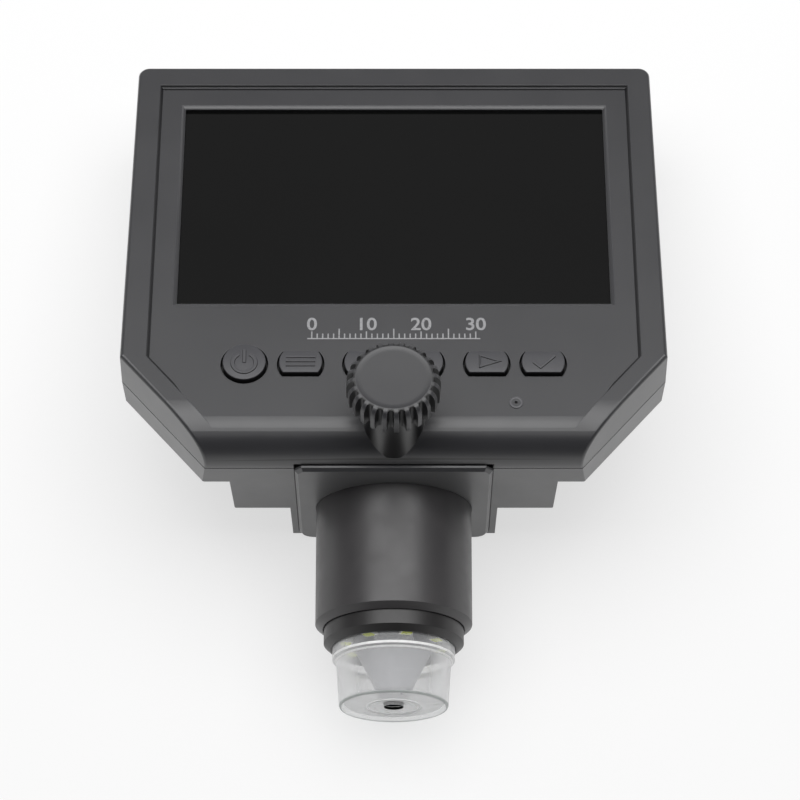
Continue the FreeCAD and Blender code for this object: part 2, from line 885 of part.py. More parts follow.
def front_cover():
    """The front shell: panel, border, rounded nose, window, button holes, knob boss and posts."""
    shell = cut("front_shell", front_mass(), [panel_recess(), front_cavity()] + parting_groove())
    boss = pillar(
        "knob_boss", 0, S.knob_high, S.boss_foot_radius, -S.nose_radius + 2, BOSS_TOP, S.boss_top_radius
    )
    socket = pillar("bush_socket", 0, S.knob_high, S.bush_radius + 1.2, BUSH_LOW, 0)
    ring = pillar(
        "pinhole_ring", S.pinhole_across, S.pinhole_high, S.pinhole_ring,
        -S.recess_depth - 0.3, -S.recess_depth + S.pinhole_proud,
    )
    added = [boss, socket, ring]
    drilled = []
    for index, (x, y) in enumerate(POSTS + KEY_POSTS):
        depth = S.board_depth if index < len(POSTS) else S.key_board_depth
        added.append(pillar("post_%d" % index, x, y, S.post_radius, -depth, PANEL_BACK + 0.5))
        drilled.append(pillar("pilot_%d" % index, x, y, S.pilot_radius, -depth - 1, PANEL_BACK - 0.3))
    for index, (x, y, radius) in enumerate(CASE_POSTS):
        added.append(pillar("case_post_%d" % index, x, y, radius, -PARTING, PANEL_BACK + 0.5))
        drilled.append(
            pillar("case_pilot_%d" % index, x, y, S.screw_radius, -PARTING - 1, PANEL_BACK - 0.3)
        )
    drilled.append(pillar("bush_hole", 0, S.knob_high, S.bush_radius, BUSH_LOW - 1, BUSH_TOP))
    drilled.append(
        pillar("shaft_hole", 0, S.knob_high, S.shaft_radius + 0.3, BUSH_TOP - 1, BOSS_TOP + 1)
    )
    drilled.append(
        pillar("pinhole", S.pinhole_across, S.pinhole_high, S.pinhole_radius, PANEL_BACK - 1, 1)
    )
    for name, x, is_round in BUTTONS:
        drilled.append(button_bar(name + "_hole", x, is_round, S.button_gap, PANEL_BACK - 1, as_size(5)))
    drilled.extend(screen_opening())
    drilled.extend(top_mouths("front"))
    drilled.append(plate_opening("front_notch"))
    whole = fuse("front_whole", [shell] + added)
    return subpart(cut("front_cover_cut", whole, drilled), "front_cover", DISPLAY)


def back_mass(tag):
    """The rear cover's outer form, solid: wide shell, battery tier and neck."""
    body = new_body("back_mass_" + tag)
    wide = draw_path(new_sketch(body, "wide_outline_" + tag, "XY_Plane", -PARTING), outline(ZERO))
    pad(body, wide, S.wide_depth - PARTING, backward=True, taper=-S.back_draft)
    tier = draw_path(
        new_sketch(body, "tier_outline_" + tag, "XY_Plane", -(S.wide_depth - 1)),
        rectangle(TIER_HALF, S.outline_low, S.tier_top),
    )
    pad(body, tier, S.tier_depth - S.wide_depth + 1, backward=True, taper=-S.tier_draft)
    neck = draw_path(
        new_sketch(body, "neck_outline_" + tag, "XY_Plane", -(S.tier_depth - 1)),
        rectangle(S.neck_half, S.outline_low, S.tier_top - 1.3),
    )
    pad(body, neck, S.tier_depth, backward=True, taper=-S.neck_draft)
    flat_y = EDGE_Y + S.neck_depth * SIN
    flat_z = EDGE_Z - S.neck_depth * COS
    beyond = [
        (EDGE_Y - FAR * COS - 6 * SIN, EDGE_Z - FAR * SIN + 6 * COS),
        (EDGE_Y - 6 * SIN, EDGE_Z + 6 * COS),
        (flat_y, flat_z),
        (flat_y + FAR * COS, flat_z + FAR * SIN),
        (flat_y + FAR * COS + FAR * SIN, flat_z + FAR * SIN - FAR * COS),
        (EDGE_Y - FAR * COS + FAR * SIN, EDGE_Z - FAR * SIN - FAR * COS),
    ]
    cut_across(body, "under_outline_" + tag, beyond)
    return body


def back_cavity():
    """The hollow of the rear cover, from the parting line to the back of each step."""
    body = new_body("back_cavity")
    wide = draw_path(new_sketch(body, "wide_hollow", "XY_Plane", -PARTING + 1), outline(S.wall))
    pad(body, wide, S.wide_depth - PARTING + 1 - S.wall, backward=True)
    inset = S.wall + (S.tier_depth - S.wide_depth) * tangent(S.tier_draft)
    tier = draw_path(
        new_sketch(body, "tier_hollow", "XY_Plane", -(PARTING + 1)),
        rectangle(TIER_HALF - inset, S.outline_low, S.tier_top - inset),
    )
    pad(body, tier, S.tier_depth - S.wall - PARTING - 1, backward=True)
    neck_inset = S.neck_wall + 0.3
    neck = draw_path(
        new_sketch(body, "neck_hollow", "XY_Plane", -(S.tier_depth - S.wall - 1)),
        rectangle(S.neck_half - neck_inset, S.outline_low, S.cover_low - S.wall),
    )
    pad(body, neck, S.tier_depth, backward=True)
    low_y = EDGE_Y + S.wall * COS
    low_z = EDGE_Z + S.wall * SIN
    flat_y = low_y + (S.neck_depth - S.neck_wall) * SIN
    flat_z = low_z - (S.neck_depth - S.neck_wall) * COS
    beyond = [
        (low_y - FAR * COS - 9 * SIN, low_z - FAR * SIN + 9 * COS),
        (low_y - 9 * SIN, low_z + 9 * COS),
        (flat_y, flat_z),
        (flat_y + FAR * COS, flat_z + FAR * SIN),
        (flat_y + FAR * COS + FAR * SIN, flat_z + FAR * SIN - FAR * COS),
        (low_y - FAR * COS + FAR * SIN, low_z - FAR * SIN - FAR * COS),
    ]
    cut_across(body, "under_hollow", beyond)
    return body


DOOR_FLOOR = -(S.tier_depth - S.cover_skin - S.cover_tongue)
DOOR_SKIN = -(S.tier_depth - S.cover_skin)


def door_region(tag, gap):
    """The space of the battery cover: a skin, with tongues below it that run under the rails."""
    top = S.tier_top + 6
    skin = block(
        "door_skin_" + tag,
        (-(COVER_HALF + gap), S.cover_low - gap, -FAR),
        (COVER_HALF + gap, top, DOOR_SKIN + gap),
    )
    tongue = block(
        "door_tongue_" + tag,
        (-(COVER_HALF + S.cover_tongue + gap), S.cover_low - gap, DOOR_SKIN - gap),
        (COVER_HALF + S.cover_tongue + gap, top, DOOR_FLOOR + gap),
    )
    return [skin, tongue]


def back_rounded(tag):
    """The rear cover's outer form with its back edges rounded."""
    mass = back_mass(tag)
    tier_back = -S.tier_depth.number
    wide_back = -S.wide_depth.number

    def back_edge(first, last):
        on_tier = abs(first.z - tier_back) < 1e-3 and abs(last.z - tier_back) < 1e-3
        on_wide = abs(first.z - wide_back) < 1e-3 and abs(last.z - wide_back) < 1e-3
        outside_neck = min(abs(first.x), abs(last.x)) > S.neck_half.number + 3
        outside_tier = min(abs(first.x), abs(last.x)) > TIER_HALF.number + 0.1
        upright = abs(first.z - last.z) > 4 and min(first.y, last.y) > S.face_top.number - 3
        side = on_tier and outside_neck and abs(first.x - last.x) < 1
        return side or upright or (on_wide and outside_tier and first.y + last.y > -10)

    return round_edges("back_rounded_" + tag, mass, S.back_round, back_edge)


def rear_cover():
    """The rear shell: stepped back, battery bay, posts, mouths on the top edge and the plate's opening."""
    shell = cut("back_shell", back_rounded("shell"), [back_cavity()])
    bay_half = S.cell_radius + S.bay_gap
    bay_low = S.cell_high - bay_half
    bay_high = S.cell_high + bay_half
    bay_front = -(CELL_DEPTH - bay_half)
    inside = TIER_HALF - S.wall
    added = [
        block(
            "bay_box",
            (-inside, bay_low - S.bay_wall, DOOR_FLOOR + S.cover_gap),
            (inside, bay_high + S.bay_wall, bay_front + S.bay_wall),
        )
    ]
    drilled = [
        block(
            "bay_hollow",
            (-(inside - S.bay_end_wall), bay_low, DOOR_FLOOR),
            (inside - S.bay_end_wall, bay_high, bay_front),
        )
    ]
    for index, (x, y, radius) in enumerate(CASE_POSTS):
        added.append(pillar("back_post_%d" % index, x, y, radius, -S.wide_depth + 1, -PARTING))
        head = -(S.wide_depth - S.case_screw_sink)
        drilled.append(
            pillar("head_hole_%d" % index, x, y, S.screw_head_radius + 0.1, -S.wide_depth - 1, head)
        )
        drilled.append(
            pillar("shank_hole_%d" % index, x, y, S.screw_radius + 0.1, head - 1, -PARTING + 1)
        )
    drilled.extend(door_region("opening", S.cover_gap))
    drilled.extend(top_mouths("back"))
    drilled.append(plate_opening("back_opening"))
    whole = fuse("back_whole", [shell] + added)
    return subpart(cut("rear_cover_cut", whole, drilled), "rear_cover", DISPLAY)


def battery_cover():
    """The sliding cover of the battery bay, with the neck's hump on its back."""
    blank = common("cover_blank", [back_rounded("cover"), fuse("cover_space", door_region("cover", ZERO))])
    hump = prism(
        "hump_hollow", "XY_Plane",
        rectangle(S.neck_half - 2.4, S.cover_low + S.neck_wall, S.tier_top - 4.5),
        DOOR_FLOOR + 1, as_size(14), backward=True,
    )
    flat_y = EDGE_Y + (S.neck_depth - S.neck_wall) * SIN
    flat_z = EDGE_Z - (S.neck_depth - S.neck_wall) * COS
    keep = prism(
        "hump_limit", "YZ_Plane",
        [
            (flat_y, flat_z),
            (flat_y + 2 * FAR * COS, flat_z + 2 * FAR * SIN),
            (flat_y + 2 * FAR * COS - FAR * SIN, flat_z + 2 * FAR * SIN + FAR * COS),
            (flat_y - FAR * SIN, flat_z + FAR * COS),
        ],
        -FAR, 2 * FAR,
    )
    hollow = common("hump_inside", [hump, keep])
    return subpart(cut("battery_cover_cut", blank, [hollow]), "battery_cover", DISPLAY)


def screen():
    """The glass panel and the metal tray of its backlight."""
    half = S.glass_wide / 2
    low = S.screen_mid - S.glass_high / 2
    high = S.screen_mid + S.glass_high / 2
    glass_back = -(S.screen_sink + S.glass_thick)
    tray_back = glass_back - S.tray_thick
    glass = prism("glass_plate", "XY_Plane", rectangle(half, low, high), glass_back, S.glass_thick)
    subpart(glass, "lcd_glass", DISPLAY)
    tray = prism("tray_plate", "XY_Plane", rectangle(half, low, high), tray_back, S.tray_thick)
    subpart(tray, "lcd_backlight", DISPLAY)


def boards():
    """The main board on its posts, the key board with its switches, and the board screws."""
    half, tongue = BOARD_HALF, S.board_tongue_half
    main = prism(
        "main_plate", "XY_Plane",
        [
            (half, S.board_low), (half, S.board_high), (tongue, S.board_high),
            (tongue, S.board_tongue_high), (-tongue, S.board_tongue_high),
            (-tongue, S.board_high), (-half, S.board_high), (-half, S.board_low),
        ],
        BOARD_BACK, S.board_thick,
    )
    holes = [
        pillar("board_hole_%d" % i, x, y, S.screw_radius, BOARD_BACK - 1, -S.board_depth + 1)
        for i, (x, y) in enumerate(POSTS)
    ]
    subpart(cut("main_board_cut", main, holes), "main_board", DISPLAY)
    key_back = -(S.key_board_depth + S.board_thick)
    key = prism(
        "key_plate", "XY_Plane",
        rectangle(S.key_board_half, S.key_board_low, S.key_board_high), key_back, S.board_thick,
    )
    holes = [
        pillar("key_hole_%d" % i, x, y, S.screw_radius, key_back - 1, -S.key_board_depth + 1)
        for i, (x, y) in enumerate(KEY_POSTS)
    ]
    subpart(cut("key_board_cut", key, holes), "key_board", DISPLAY)
    plunger_top = -(S.recess_depth + S.wall + S.button_seat + S.button_rim_thick) - S.button_travel - 0.05
    body_top = -S.key_board_depth + S.switch_body
    half = S.switch_side / 2
    switches = []
    for name, x, is_round in BUTTONS:
        base = block(
            name + "_switch",
            (x - half, S.button_row - half, -S.key_board_depth),
            (x + half, S.button_row + half, body_top),
        )
        plunger = pillar(name + "_plunger", x, S.button_row, S.plunger_radius, body_top - 0.5, plunger_top)
        switches.append(fuse(name + "_switch_whole", [base, plunger]))
    subpart(group("switches", switches), "tact_switches", DISPLAY)
    screws = []
    for index, (x, y) in enumerate(POSTS + KEY_POSTS):
        seat = BOARD_BACK if index < len(POSTS) else key_back
        head = pillar(
            "board_screw_head_%d" % index, x, y, S.pilot_radius * 2.2, seat - S.screw_head_thick, seat
        )
        shank = pillar("board_screw_shank_%d" % index, x, y, S.pilot_radius, seat - 0.5, PANEL_BACK - 1.5)
        screws.append(fuse("board_screw_%d" % index, [head, shank]))
    subpart(group("board_screw_set", screws), "board_screws", DISPLAY)


def board_chips():
    """The processor, memory and plugs on the back of the main board."""
    low = BOARD_BACK
    chips = []
    for index, (x, y, wide, high, thick) in enumerate(
        (
            (-14, 72, 14, 14, 1.4), (10, 66, 12, 9, 1.2), (-38, 70, 9, 9, 2.4),
            (40, 66, 7, 7, 2.6), (-36, 48, 5, 7, 1.0), (38, 48, 8, 5, 1.1),
        )
    ):
        chips.append(
            block(
                "chip_%d" % index,
                (x - wide / 2, y - high / 2, low - thick),
                (x + wide / 2, y + high / 2, low),
            )
        )
    subpart(group("chip_set", chips), "board_chips", DISPLAY)


def buttons():
    """Six push buttons, each with a rim that keeps it behind the panel and a stem to its switch."""
    top = -S.recess_depth + S.button_proud
    rim_top = PANEL_BACK - S.button_seat
    rim_low = rim_top - S.button_rim_thick
    for name, x, is_round in BUTTONS:
        bar = button_bar(name + "_bar", x, is_round, ZERO, rim_low, top - rim_low)
        rim = button_bar(name + "_rim", x, is_round, S.button_rim, rim_low, S.button_rim_thick)
        whole = fuse(name + "_whole", [bar, rim])
        subpart(whole, name, DISPLAY)


def microphone():
    """The capsule behind the pinhole."""
    capsule = pillar(
        "capsule", S.pinhole_across, S.pinhole_high, S.capsule_radius,
        PANEL_BACK - S.fit_gap - S.capsule_thick, PANEL_BACK - S.fit_gap,
    )
    subpart(fuse("capsule_whole", [capsule]), "microphone", DISPLAY)


def focus_drive():
    """The fluted knob, its shaft, bush, retaining clip and pinion, all square to the screen."""
    low = S.knob_top - S.knob_length
    body = new_body("knob_mass")
    section = draw_path(
        new_sketch(body, "knob_section", "YZ_Plane"),
        [
            (0, low), (S.knob_radius - 0.5, low), (S.knob_radius, low + 0.5),
            (S.knob_radius, S.knob_top - S.knob_bevel), (S.knob_face, S.knob_top), (0, S.knob_top),
        ],
    )
    turn = body.newObject("PartDesign::Revolution", "knob_turn")
    turn.Profile = section
    turn.ReferenceAxis = (section, ["V_Axis"])
    turn.Angle = 360
    flute = draw_circle(
        new_sketch(body, "flute_circle", "XY_Plane", low - 1),
        S.knob_radius + S.flute_radius - S.flute_depth, 0, S.flute_radius,
    )
    groove = body.newObject("PartDesign::Pocket", "flute")
    groove.Profile = flute
    groove.Reversed = True
    bind(groove, "Length", S.knob_length + 3)
    doc.recompute()
    pattern = body.newObject("PartDesign::PolarPattern", "flutes")
    pattern.Originals = [groove]
    pattern.Axis = (flute, ["N_Axis"])
    pattern.Angle = 360
    bind(pattern, "Occurrences", S.flute_count)
    body.Tip = pattern
    bind(body, ".Placement.Base.y", S.knob_high)
    bore_top = S.knob_top - 2
    bore = pillar("knob_bore", 0, S.knob_high, S.shaft_radius, low - 1, bore_top)
    well = pillar("knob_well", 0, S.knob_high, S.boss_top_radius + 0.6, low - 1, low + 0.001)
    subpart(cut("focus_knob_cut", body, [bore, well]), "focus_knob", DISPLAY)
    gear_mid = PINION_MID
    shaft_low = gear_mid - S.gear_face / 2 - 0.4
    shaft = pillar("shaft_rod", 0, S.knob_high, S.shaft_radius, shaft_low, bore_top)
    clip_top = BUSH_LOW - S.fit_gap
    groove = pillar("clip_groove", 0, S.knob_high, S.clip_radius, clip_top - S.clip_thick, clip_top)
    kept = pillar("clip_core", 0, S.knob_high, S.shaft_radius - 0.35, clip_top - 2, clip_top + 1)
    subpart(
        cut("knob_shaft_cut", shaft, [cut("clip_ring_space", groove, [kept])]), "knob_shaft", DISPLAY
    )
    clip = pillar("clip_disc", 0, S.knob_high, S.clip_radius, clip_top - S.clip_thick, clip_top)
    core = pillar("clip_eye", 0, S.knob_high, S.shaft_radius - 0.35, clip_top - 2, clip_top + 1)
    mouth = block(
        "clip_mouth",
        (-(S.shaft_radius - 0.5), S.knob_high - 4, clip_top - 2),
        (S.shaft_radius - 0.5, S.knob_high, clip_top + 1),
    )
    subpart(cut("retaining_clip_cut", clip, [core, mouth]), "retaining_clip", DISPLAY)
    bush = pillar("bush_outer", 0, S.knob_high, S.bush_radius, BUSH_LOW, BUSH_TOP)
    bush_bore = pillar(
        "bush_bore", 0, S.knob_high, S.shaft_radius + S.bush_clearance, BUSH_LOW - 1, BUSH_TOP + 1
    )
    subpart(cut("shaft_bush_cut", bush, [bush_bore]), "shaft_bush", DISPLAY)


# The pinion's middle lies at a set distance in front of the optical axis
PINION_MID = (S.gear_middle - FACE_Z - S.knob_high * -SIN) / COS
PITCH_RADIUS = S.gear_module * S.gear_teeth / 2
GEAR_STEP = S.gear_module * math.pi


def involute(base, radius):
    """Polar angle and radius of the involute of a base circle at a radius."""
    turn = math.sqrt(max((radius / base) ** 2 - 1, 0))
    return turn - math.atan(turn)


def pinion():
    """A spur pinion with involute flanks, with a gap between teeth facing the rack."""
    module, teeth = S.gear_module.number, int(S.gear_teeth.number)
    pitch = PITCH_RADIUS.number
    base = pitch * math.cos(math.radians(S.pressure_angle.number))
    tip = pitch + module
    foot = pitch - 1.25 * module
    half_tooth = math.pi / (2 * teeth) - S.gear_backlash.number / (2 * pitch) + involute(base, pitch)
    flank = [base + (tip - base) * step / 3 for step in range(4)]
    middle = FreeCAD.Vector(0, S.knob_high.number, PINION_MID.number - S.gear_face.number / 2)
    points = []
    for tooth in range(teeth):
        heading = 2 * math.pi * (tooth + 0.5) / teeth
        rising = [(foot, -half_tooth)] + [(r, involute(base, r) - half_tooth) for r in flank]
        falling = [(r, -angle) for r, angle in reversed(rising)]
        for radius, angle in rising + falling:
            turn = heading + angle
            points.append(middle + FreeCAD.Vector(radius * math.cos(turn), radius * math.sin(turn), 0))
    wire = Part.makePolygon(points + [points[0]])
    blank = Part.Face(wire).extrude(FreeCAD.Vector(0, 0, S.gear_face.number))
    bore = Part.makeCylinder(S.shaft_radius.number, S.gear_face.number + 2, middle - FreeCAD.Vector(0, 0, 1))
    gear = doc.addObject("Part::Feature", "pinion_gear")
    gear.Shape = blank.cut(bore)
    subpart(gear, "focus_pinion", DISPLAY)


def rack():
    """A rack along the tube whose teeth lean by the tilt, so that they run along the pinion's axis."""
    tilt = math.radians(S.tilt.number)
    pitch_x = PITCH_RADIUS.number
    step = GEAR_STEP.number
    lean = math.tan(math.radians(S.pressure_angle.number))
    tip_x = pitch_x - S.rack_addendum.number
    foot_x = pitch_x + S.rack_dedendum.number
    low, high = S.rack_low.number, S.barrel_high.number
    floor, front = S.rack_floor.number, S.rack_front.number
    width = S.rack_width.number
    bar = Part.makeBox(
        width, high - low, front - floor, FreeCAD.Vector(tip_x, low, floor)
    )
    # The line through the pitch point along the pinion's axis, in the tube frame
    across = FreeCAD.Vector(0, math.sin(tilt), math.cos(tilt))
    along = FreeCAD.Vector(0, math.cos(tilt), -math.sin(tilt))
    origin = FreeCAD.Vector(
        0,
        FACE_Y.number + S.knob_high.number * math.cos(tilt) + PINION_MID.number * math.sin(tilt),
        FACE_Z.number - S.knob_high.number * math.sin(tilt) + PINION_MID.number * math.cos(tilt),
    )
    travel = FreeCAD.Vector(0, step / math.cos(tilt), 0)
    half_gap = step / 4 + S.gear_backlash.number / 2
    tip_half = half_gap + (pitch_x - tip_x + 1) * lean
    foot_half = half_gap - (foot_x - pitch_x) * lean
    gaps = []
    first = math.floor((low - origin.y) / travel.y) - 1
    last = math.ceil((high - origin.y) / travel.y) + 1
    for index in range(first, last):
        mid = origin + travel * (index + 0.5) - across * 8
        corners = [
            mid + FreeCAD.Vector(tip_x - 1, 0, 0) - along * tip_half,
            mid + FreeCAD.Vector(tip_x - 1, 0, 0) + along * tip_half,
            mid + FreeCAD.Vector(foot_x, 0, 0) + along * foot_half,
            mid + FreeCAD.Vector(foot_x, 0, 0) - along * foot_half,
        ]
        face = Part.Face(Part.makePolygon(corners + [corners[0]]))
        gaps.append(face.extrude(across * 16))
    toothed = doc.addObject("Part::Feature", "rack_bar")
    toothed.Shape = bar.cut(gaps)
    subpart(toothed, "focus_rack", TUBE)


def lens_tube():
    """The outer tube: chamfered end, socket for the lamp head, inner flange and slotted collar.

    From the mount plate's underside upwards the tube is thinner, so that it drops through the plate.
    """
    end = -S.tube_length
    shoulder = end + S.tube_end_chamfer
    socket_top = end + S.socket_depth
    body = turned(
        "tube_mass",
        [
            (S.tube_bore, socket_top), (S.socket_radius, socket_top), (S.socket_radius, end),
            (S.tube_end_radius, end), (S.tube_radius, shoulder), (S.tube_radius, -S.plate_proud),
            (S.collar_radius, -S.plate_proud), (S.collar_radius, S.collar_top),
            (S.tube_bore, S.collar_top),
        ],
    )
    flange = block(
        "tube_flange",
        (-S.flange_half, S.flange_low, S.flange_back),
        (S.flange_half, S.flange_low + S.flange_thick, S.flange_front),
    )
    ears = block(
        "flange_waist_left",
        (-FAR, S.flange_low - 1, -FAR), (-(S.neck_half - S.neck_wall - 0.8), S.collar_top, 0.5),
    )
    ears_right = block(
        "flange_waist_right",
        (S.neck_half - S.neck_wall - 0.8, S.flange_low - 1, -FAR), (FAR, S.collar_top, 0.5),
    )
    eye = spindle("flange_eye", 0, 0, S.tube_radius - 0.5, S.flange_low - 1, S.collar_top + 1)
    holes = [
        spindle("flange_hole_%d" % i, x, z, S.screw_radius + 0.1, S.flange_low - 1, S.collar_top)
        for i, (x, z) in enumerate(PLATE_SCREWS)
    ]
    ring = cut("flange_ring", flange, [ears, ears_right, eye] + holes)
    rib = block(
        "guide_rib",
        (-S.rib_half, socket_top + 2, -(S.tube_bore + 0.5)),
        (S.rib_half, S.collar_top, -(S.tube_bore - S.rib_depth)),
    )
    slot = block(
        "collar_slot",
        (-S.collar_slot_half, S.collar_slot_low, 0), (S.collar_slot_half, S.collar_top + 1, FAR),
    )
    whole = fuse("tube_whole", [body, ring, rib])
    subpart(cut("lens_tube_cut", whole, [slot]), "lens_tube", TUBE)


PLATE_SCREWS = [
    (x, z) for z in (S.plate_screw_front, S.plate_screw_back) for x in mirrored_pairs([S.plate_screw_across])
]


def mount_plate():
    """The plate that the tube passes through: nipped front corners, round back ones, chamfered edge."""
    half, front = S.plate_half, S.plate_front
    back = -(S.neck_depth - S.axis_depth)
    round_back = S.plate_back_round
    shape = [
        (half, -(front - S.plate_nip_along)),
        (half, -(back + round_back), Bend(round_back, -1)),
        (half - round_back, -back),
        (-(half - round_back), -back, Bend(round_back, -1)),
        (-half, -(back + round_back)),
        (-half, -(front - S.plate_nip_along)),
        (-(half - S.plate_nip_across), -front),
        (half - S.plate_nip_across, -front),
    ]
    body = new_body("plate_mass")
    sketch = new_sketch(body, "plate_outline", "XZ_Plane", ZERO)
    flipped = [(item[0], -item[1]) + ((Bend(item[2].radius, 1),) if len(item) > 2 else ()) for item in shape]
    draw_path(sketch, flipped)
    pad(body, sketch, S.plate_proud)
    lower = -S.plate_proud.number

    def rim_edge(first, last):
        return abs(first.y - lower) < 1e-4 and abs(last.y - lower) < 1e-4

    doc.recompute()
    picked = []
    for index, edge in enumerate(body.Shape.Edges, start=1):
        ends = [vertex.Point for vertex in edge.Vertexes]
        if len(ends) == 2 and rim_edge(*ends):
            picked.append((index, S.plate_chamfer.number, S.plate_chamfer.number))
    bevelled = doc.addObject("Part::Chamfer", "plate_bevelled")
    bevelled.Base = body
    bevelled.Edges = picked
    plug_back = -(S.neck_depth - S.neck_wall - S.axis_depth) + 2 * S.fit_gap
    plug = block("plate_plug", (-half, -0.3, plug_back), (half, S.wall, front - S.plate_nip_along))
    hole = spindle("plate_hole", 0, 0, S.tube_radius + 0.05, -5, 5)
    holes = [
        spindle("plate_screw_hole_%d" % i, x, z, S.screw_radius, -0.4, 5)
        for i, (x, z) in enumerate(PLATE_SCREWS)
    ]
    whole = fuse("plate_whole", [bevelled, plug])
    subpart(cut("mount_plate_cut", whole, [hole] + holes), "mount_plate", TUBE)
    screws = []
    seat = S.flange_low + S.flange_thick
    for index, (x, z) in enumerate(PLATE_SCREWS):
        head = spindle(
            "plate_screw_head_%d" % index, x, z, S.screw_head_radius, seat, seat + S.screw_head_thick
        )
        shank = spindle("plate_screw_shank_%d" % index, x, z, S.screw_radius, -0.2, seat + 0.3)
        screws.append(fuse("plate_screw_%d" % index, [head, shank]))
    subpart(group("plate_screw_set", screws), "plate_screws", TUBE)


def lamp_head():
    """The ring at the tube's end, the lamp board with its lamps, and the cone that keeps stray light out."""
    top = -(S.tube_length - S.socket_depth) - 0.02
    web_low = -(S.web_top + S.web_thick)
    ring = turned(
        "head_section",
        [
            (S.head_radius, top), (S.head_bore, top), (S.head_bore, -S.web_top), (S.web_hole, -S.web_top),
            (S.web_hole, web_low), (S.head_bore, web_low), (S.head_bore, -S.head_end),
            (S.head_rim_radius, -S.head_end), (S.head_radius, -S.head_shoulder),
        ],
    )
    subpart(ring, "lamp_head_ring", TUBE)
    board_low = web_low - S.lamp_board_thick
    board = turned(
        "lamp_board_section",
        [
            (S.lamp_board_hole, web_low), (S.lamp_board_hole, board_low),
            (S.lamp_board_radius, board_low), (S.lamp_board_radius, web_low),
        ],
    )
    subpart(board, "lamp_board", TUBE)
    lamps = []
    for index in range(int(S.lamp_count.number)):
        lamp = block(
            "lamp_%d" % index,
            (-S.lamp_across / 2, board_low - S.lamp_thick, S.lamp_circle - S.lamp_along / 2),
            (S.lamp_across / 2, board_low, S.lamp_circle + S.lamp_along / 2),
        )
        holder = fuse("lamp_turned_%d" % index, [lamp])
        holder.Placement = FreeCAD.Placement(
            FreeCAD.Vector(0, 0, 0), FreeCAD.Rotation(FreeCAD.Vector(0, 1, 0), 1)
        )
        bind(holder, ".Placement.Rotation.Angle", S.lamp_start + (as_size(index) + 0.5) * 360 / S.lamp_count)
        lamps.append(holder)
    subpart(group("lamp_set", lamps), "led_lamps", TUBE)
    cone_top = board_low
    rim_low = cone_top - S.cone_rim
    spigot = S.lamp_board_hole - 0.1
    cone = turned(
        "cone_section",
        [
            (spigot, web_low), (spigot, cone_top), (S.cone_radius, cone_top), (S.cone_radius, rim_low),
            (S.cone_end_radius, -S.cone_end), (S.cone_hole, -S.cone_end),
            (S.cone_radius - S.cone_wall - 0.9, rim_low), (S.cone_radius - S.cone_wall - 0.9, web_low),
        ],
    )
    subpart(cone, "light_cone", TUBE)


def clear_cap():
    """The clear cap that stands on the specimen: spigot, step, tapered wall and holed end."""
    wall = S.cap_wall
    spigot = S.head_bore - S.cap_clearance
    inner_end = -(S.cap_end - S.cap_floor)
    section = [
        (spigot, -S.cap_spigot_top),
        (spigot - wall, -S.cap_spigot_top),
        (spigot - wall, -(S.cap_step - wall)),
        (S.cap_radius - wall, -S.cap_step),
        (S.cap_end_radius - wall, inner_end),
        (S.cap_hole, inner_end),
        (S.cap_hole, -S.cap_end),
        (S.cap_ring_radius - S.cap_ring_width / 2, -S.cap_end),
        (S.cap_ring_radius - S.cap_ring_width / 2, -S.cap_end + S.cap_ring_depth),
        (S.cap_ring_radius + S.cap_ring_width / 2, -S.cap_end + S.cap_ring_depth),
        (S.cap_ring_radius + S.cap_ring_width / 2, -S.cap_end),
        (S.cap_end_radius - 0.4, -S.cap_end),
        (S.cap_end_radius, -S.cap_end + 0.4),
        (S.cap_radius, -S.cap_step),
        (spigot, -S.cap_step),
    ]
    subpart(turned("cap_section", section), "clear_cap", TUBE)


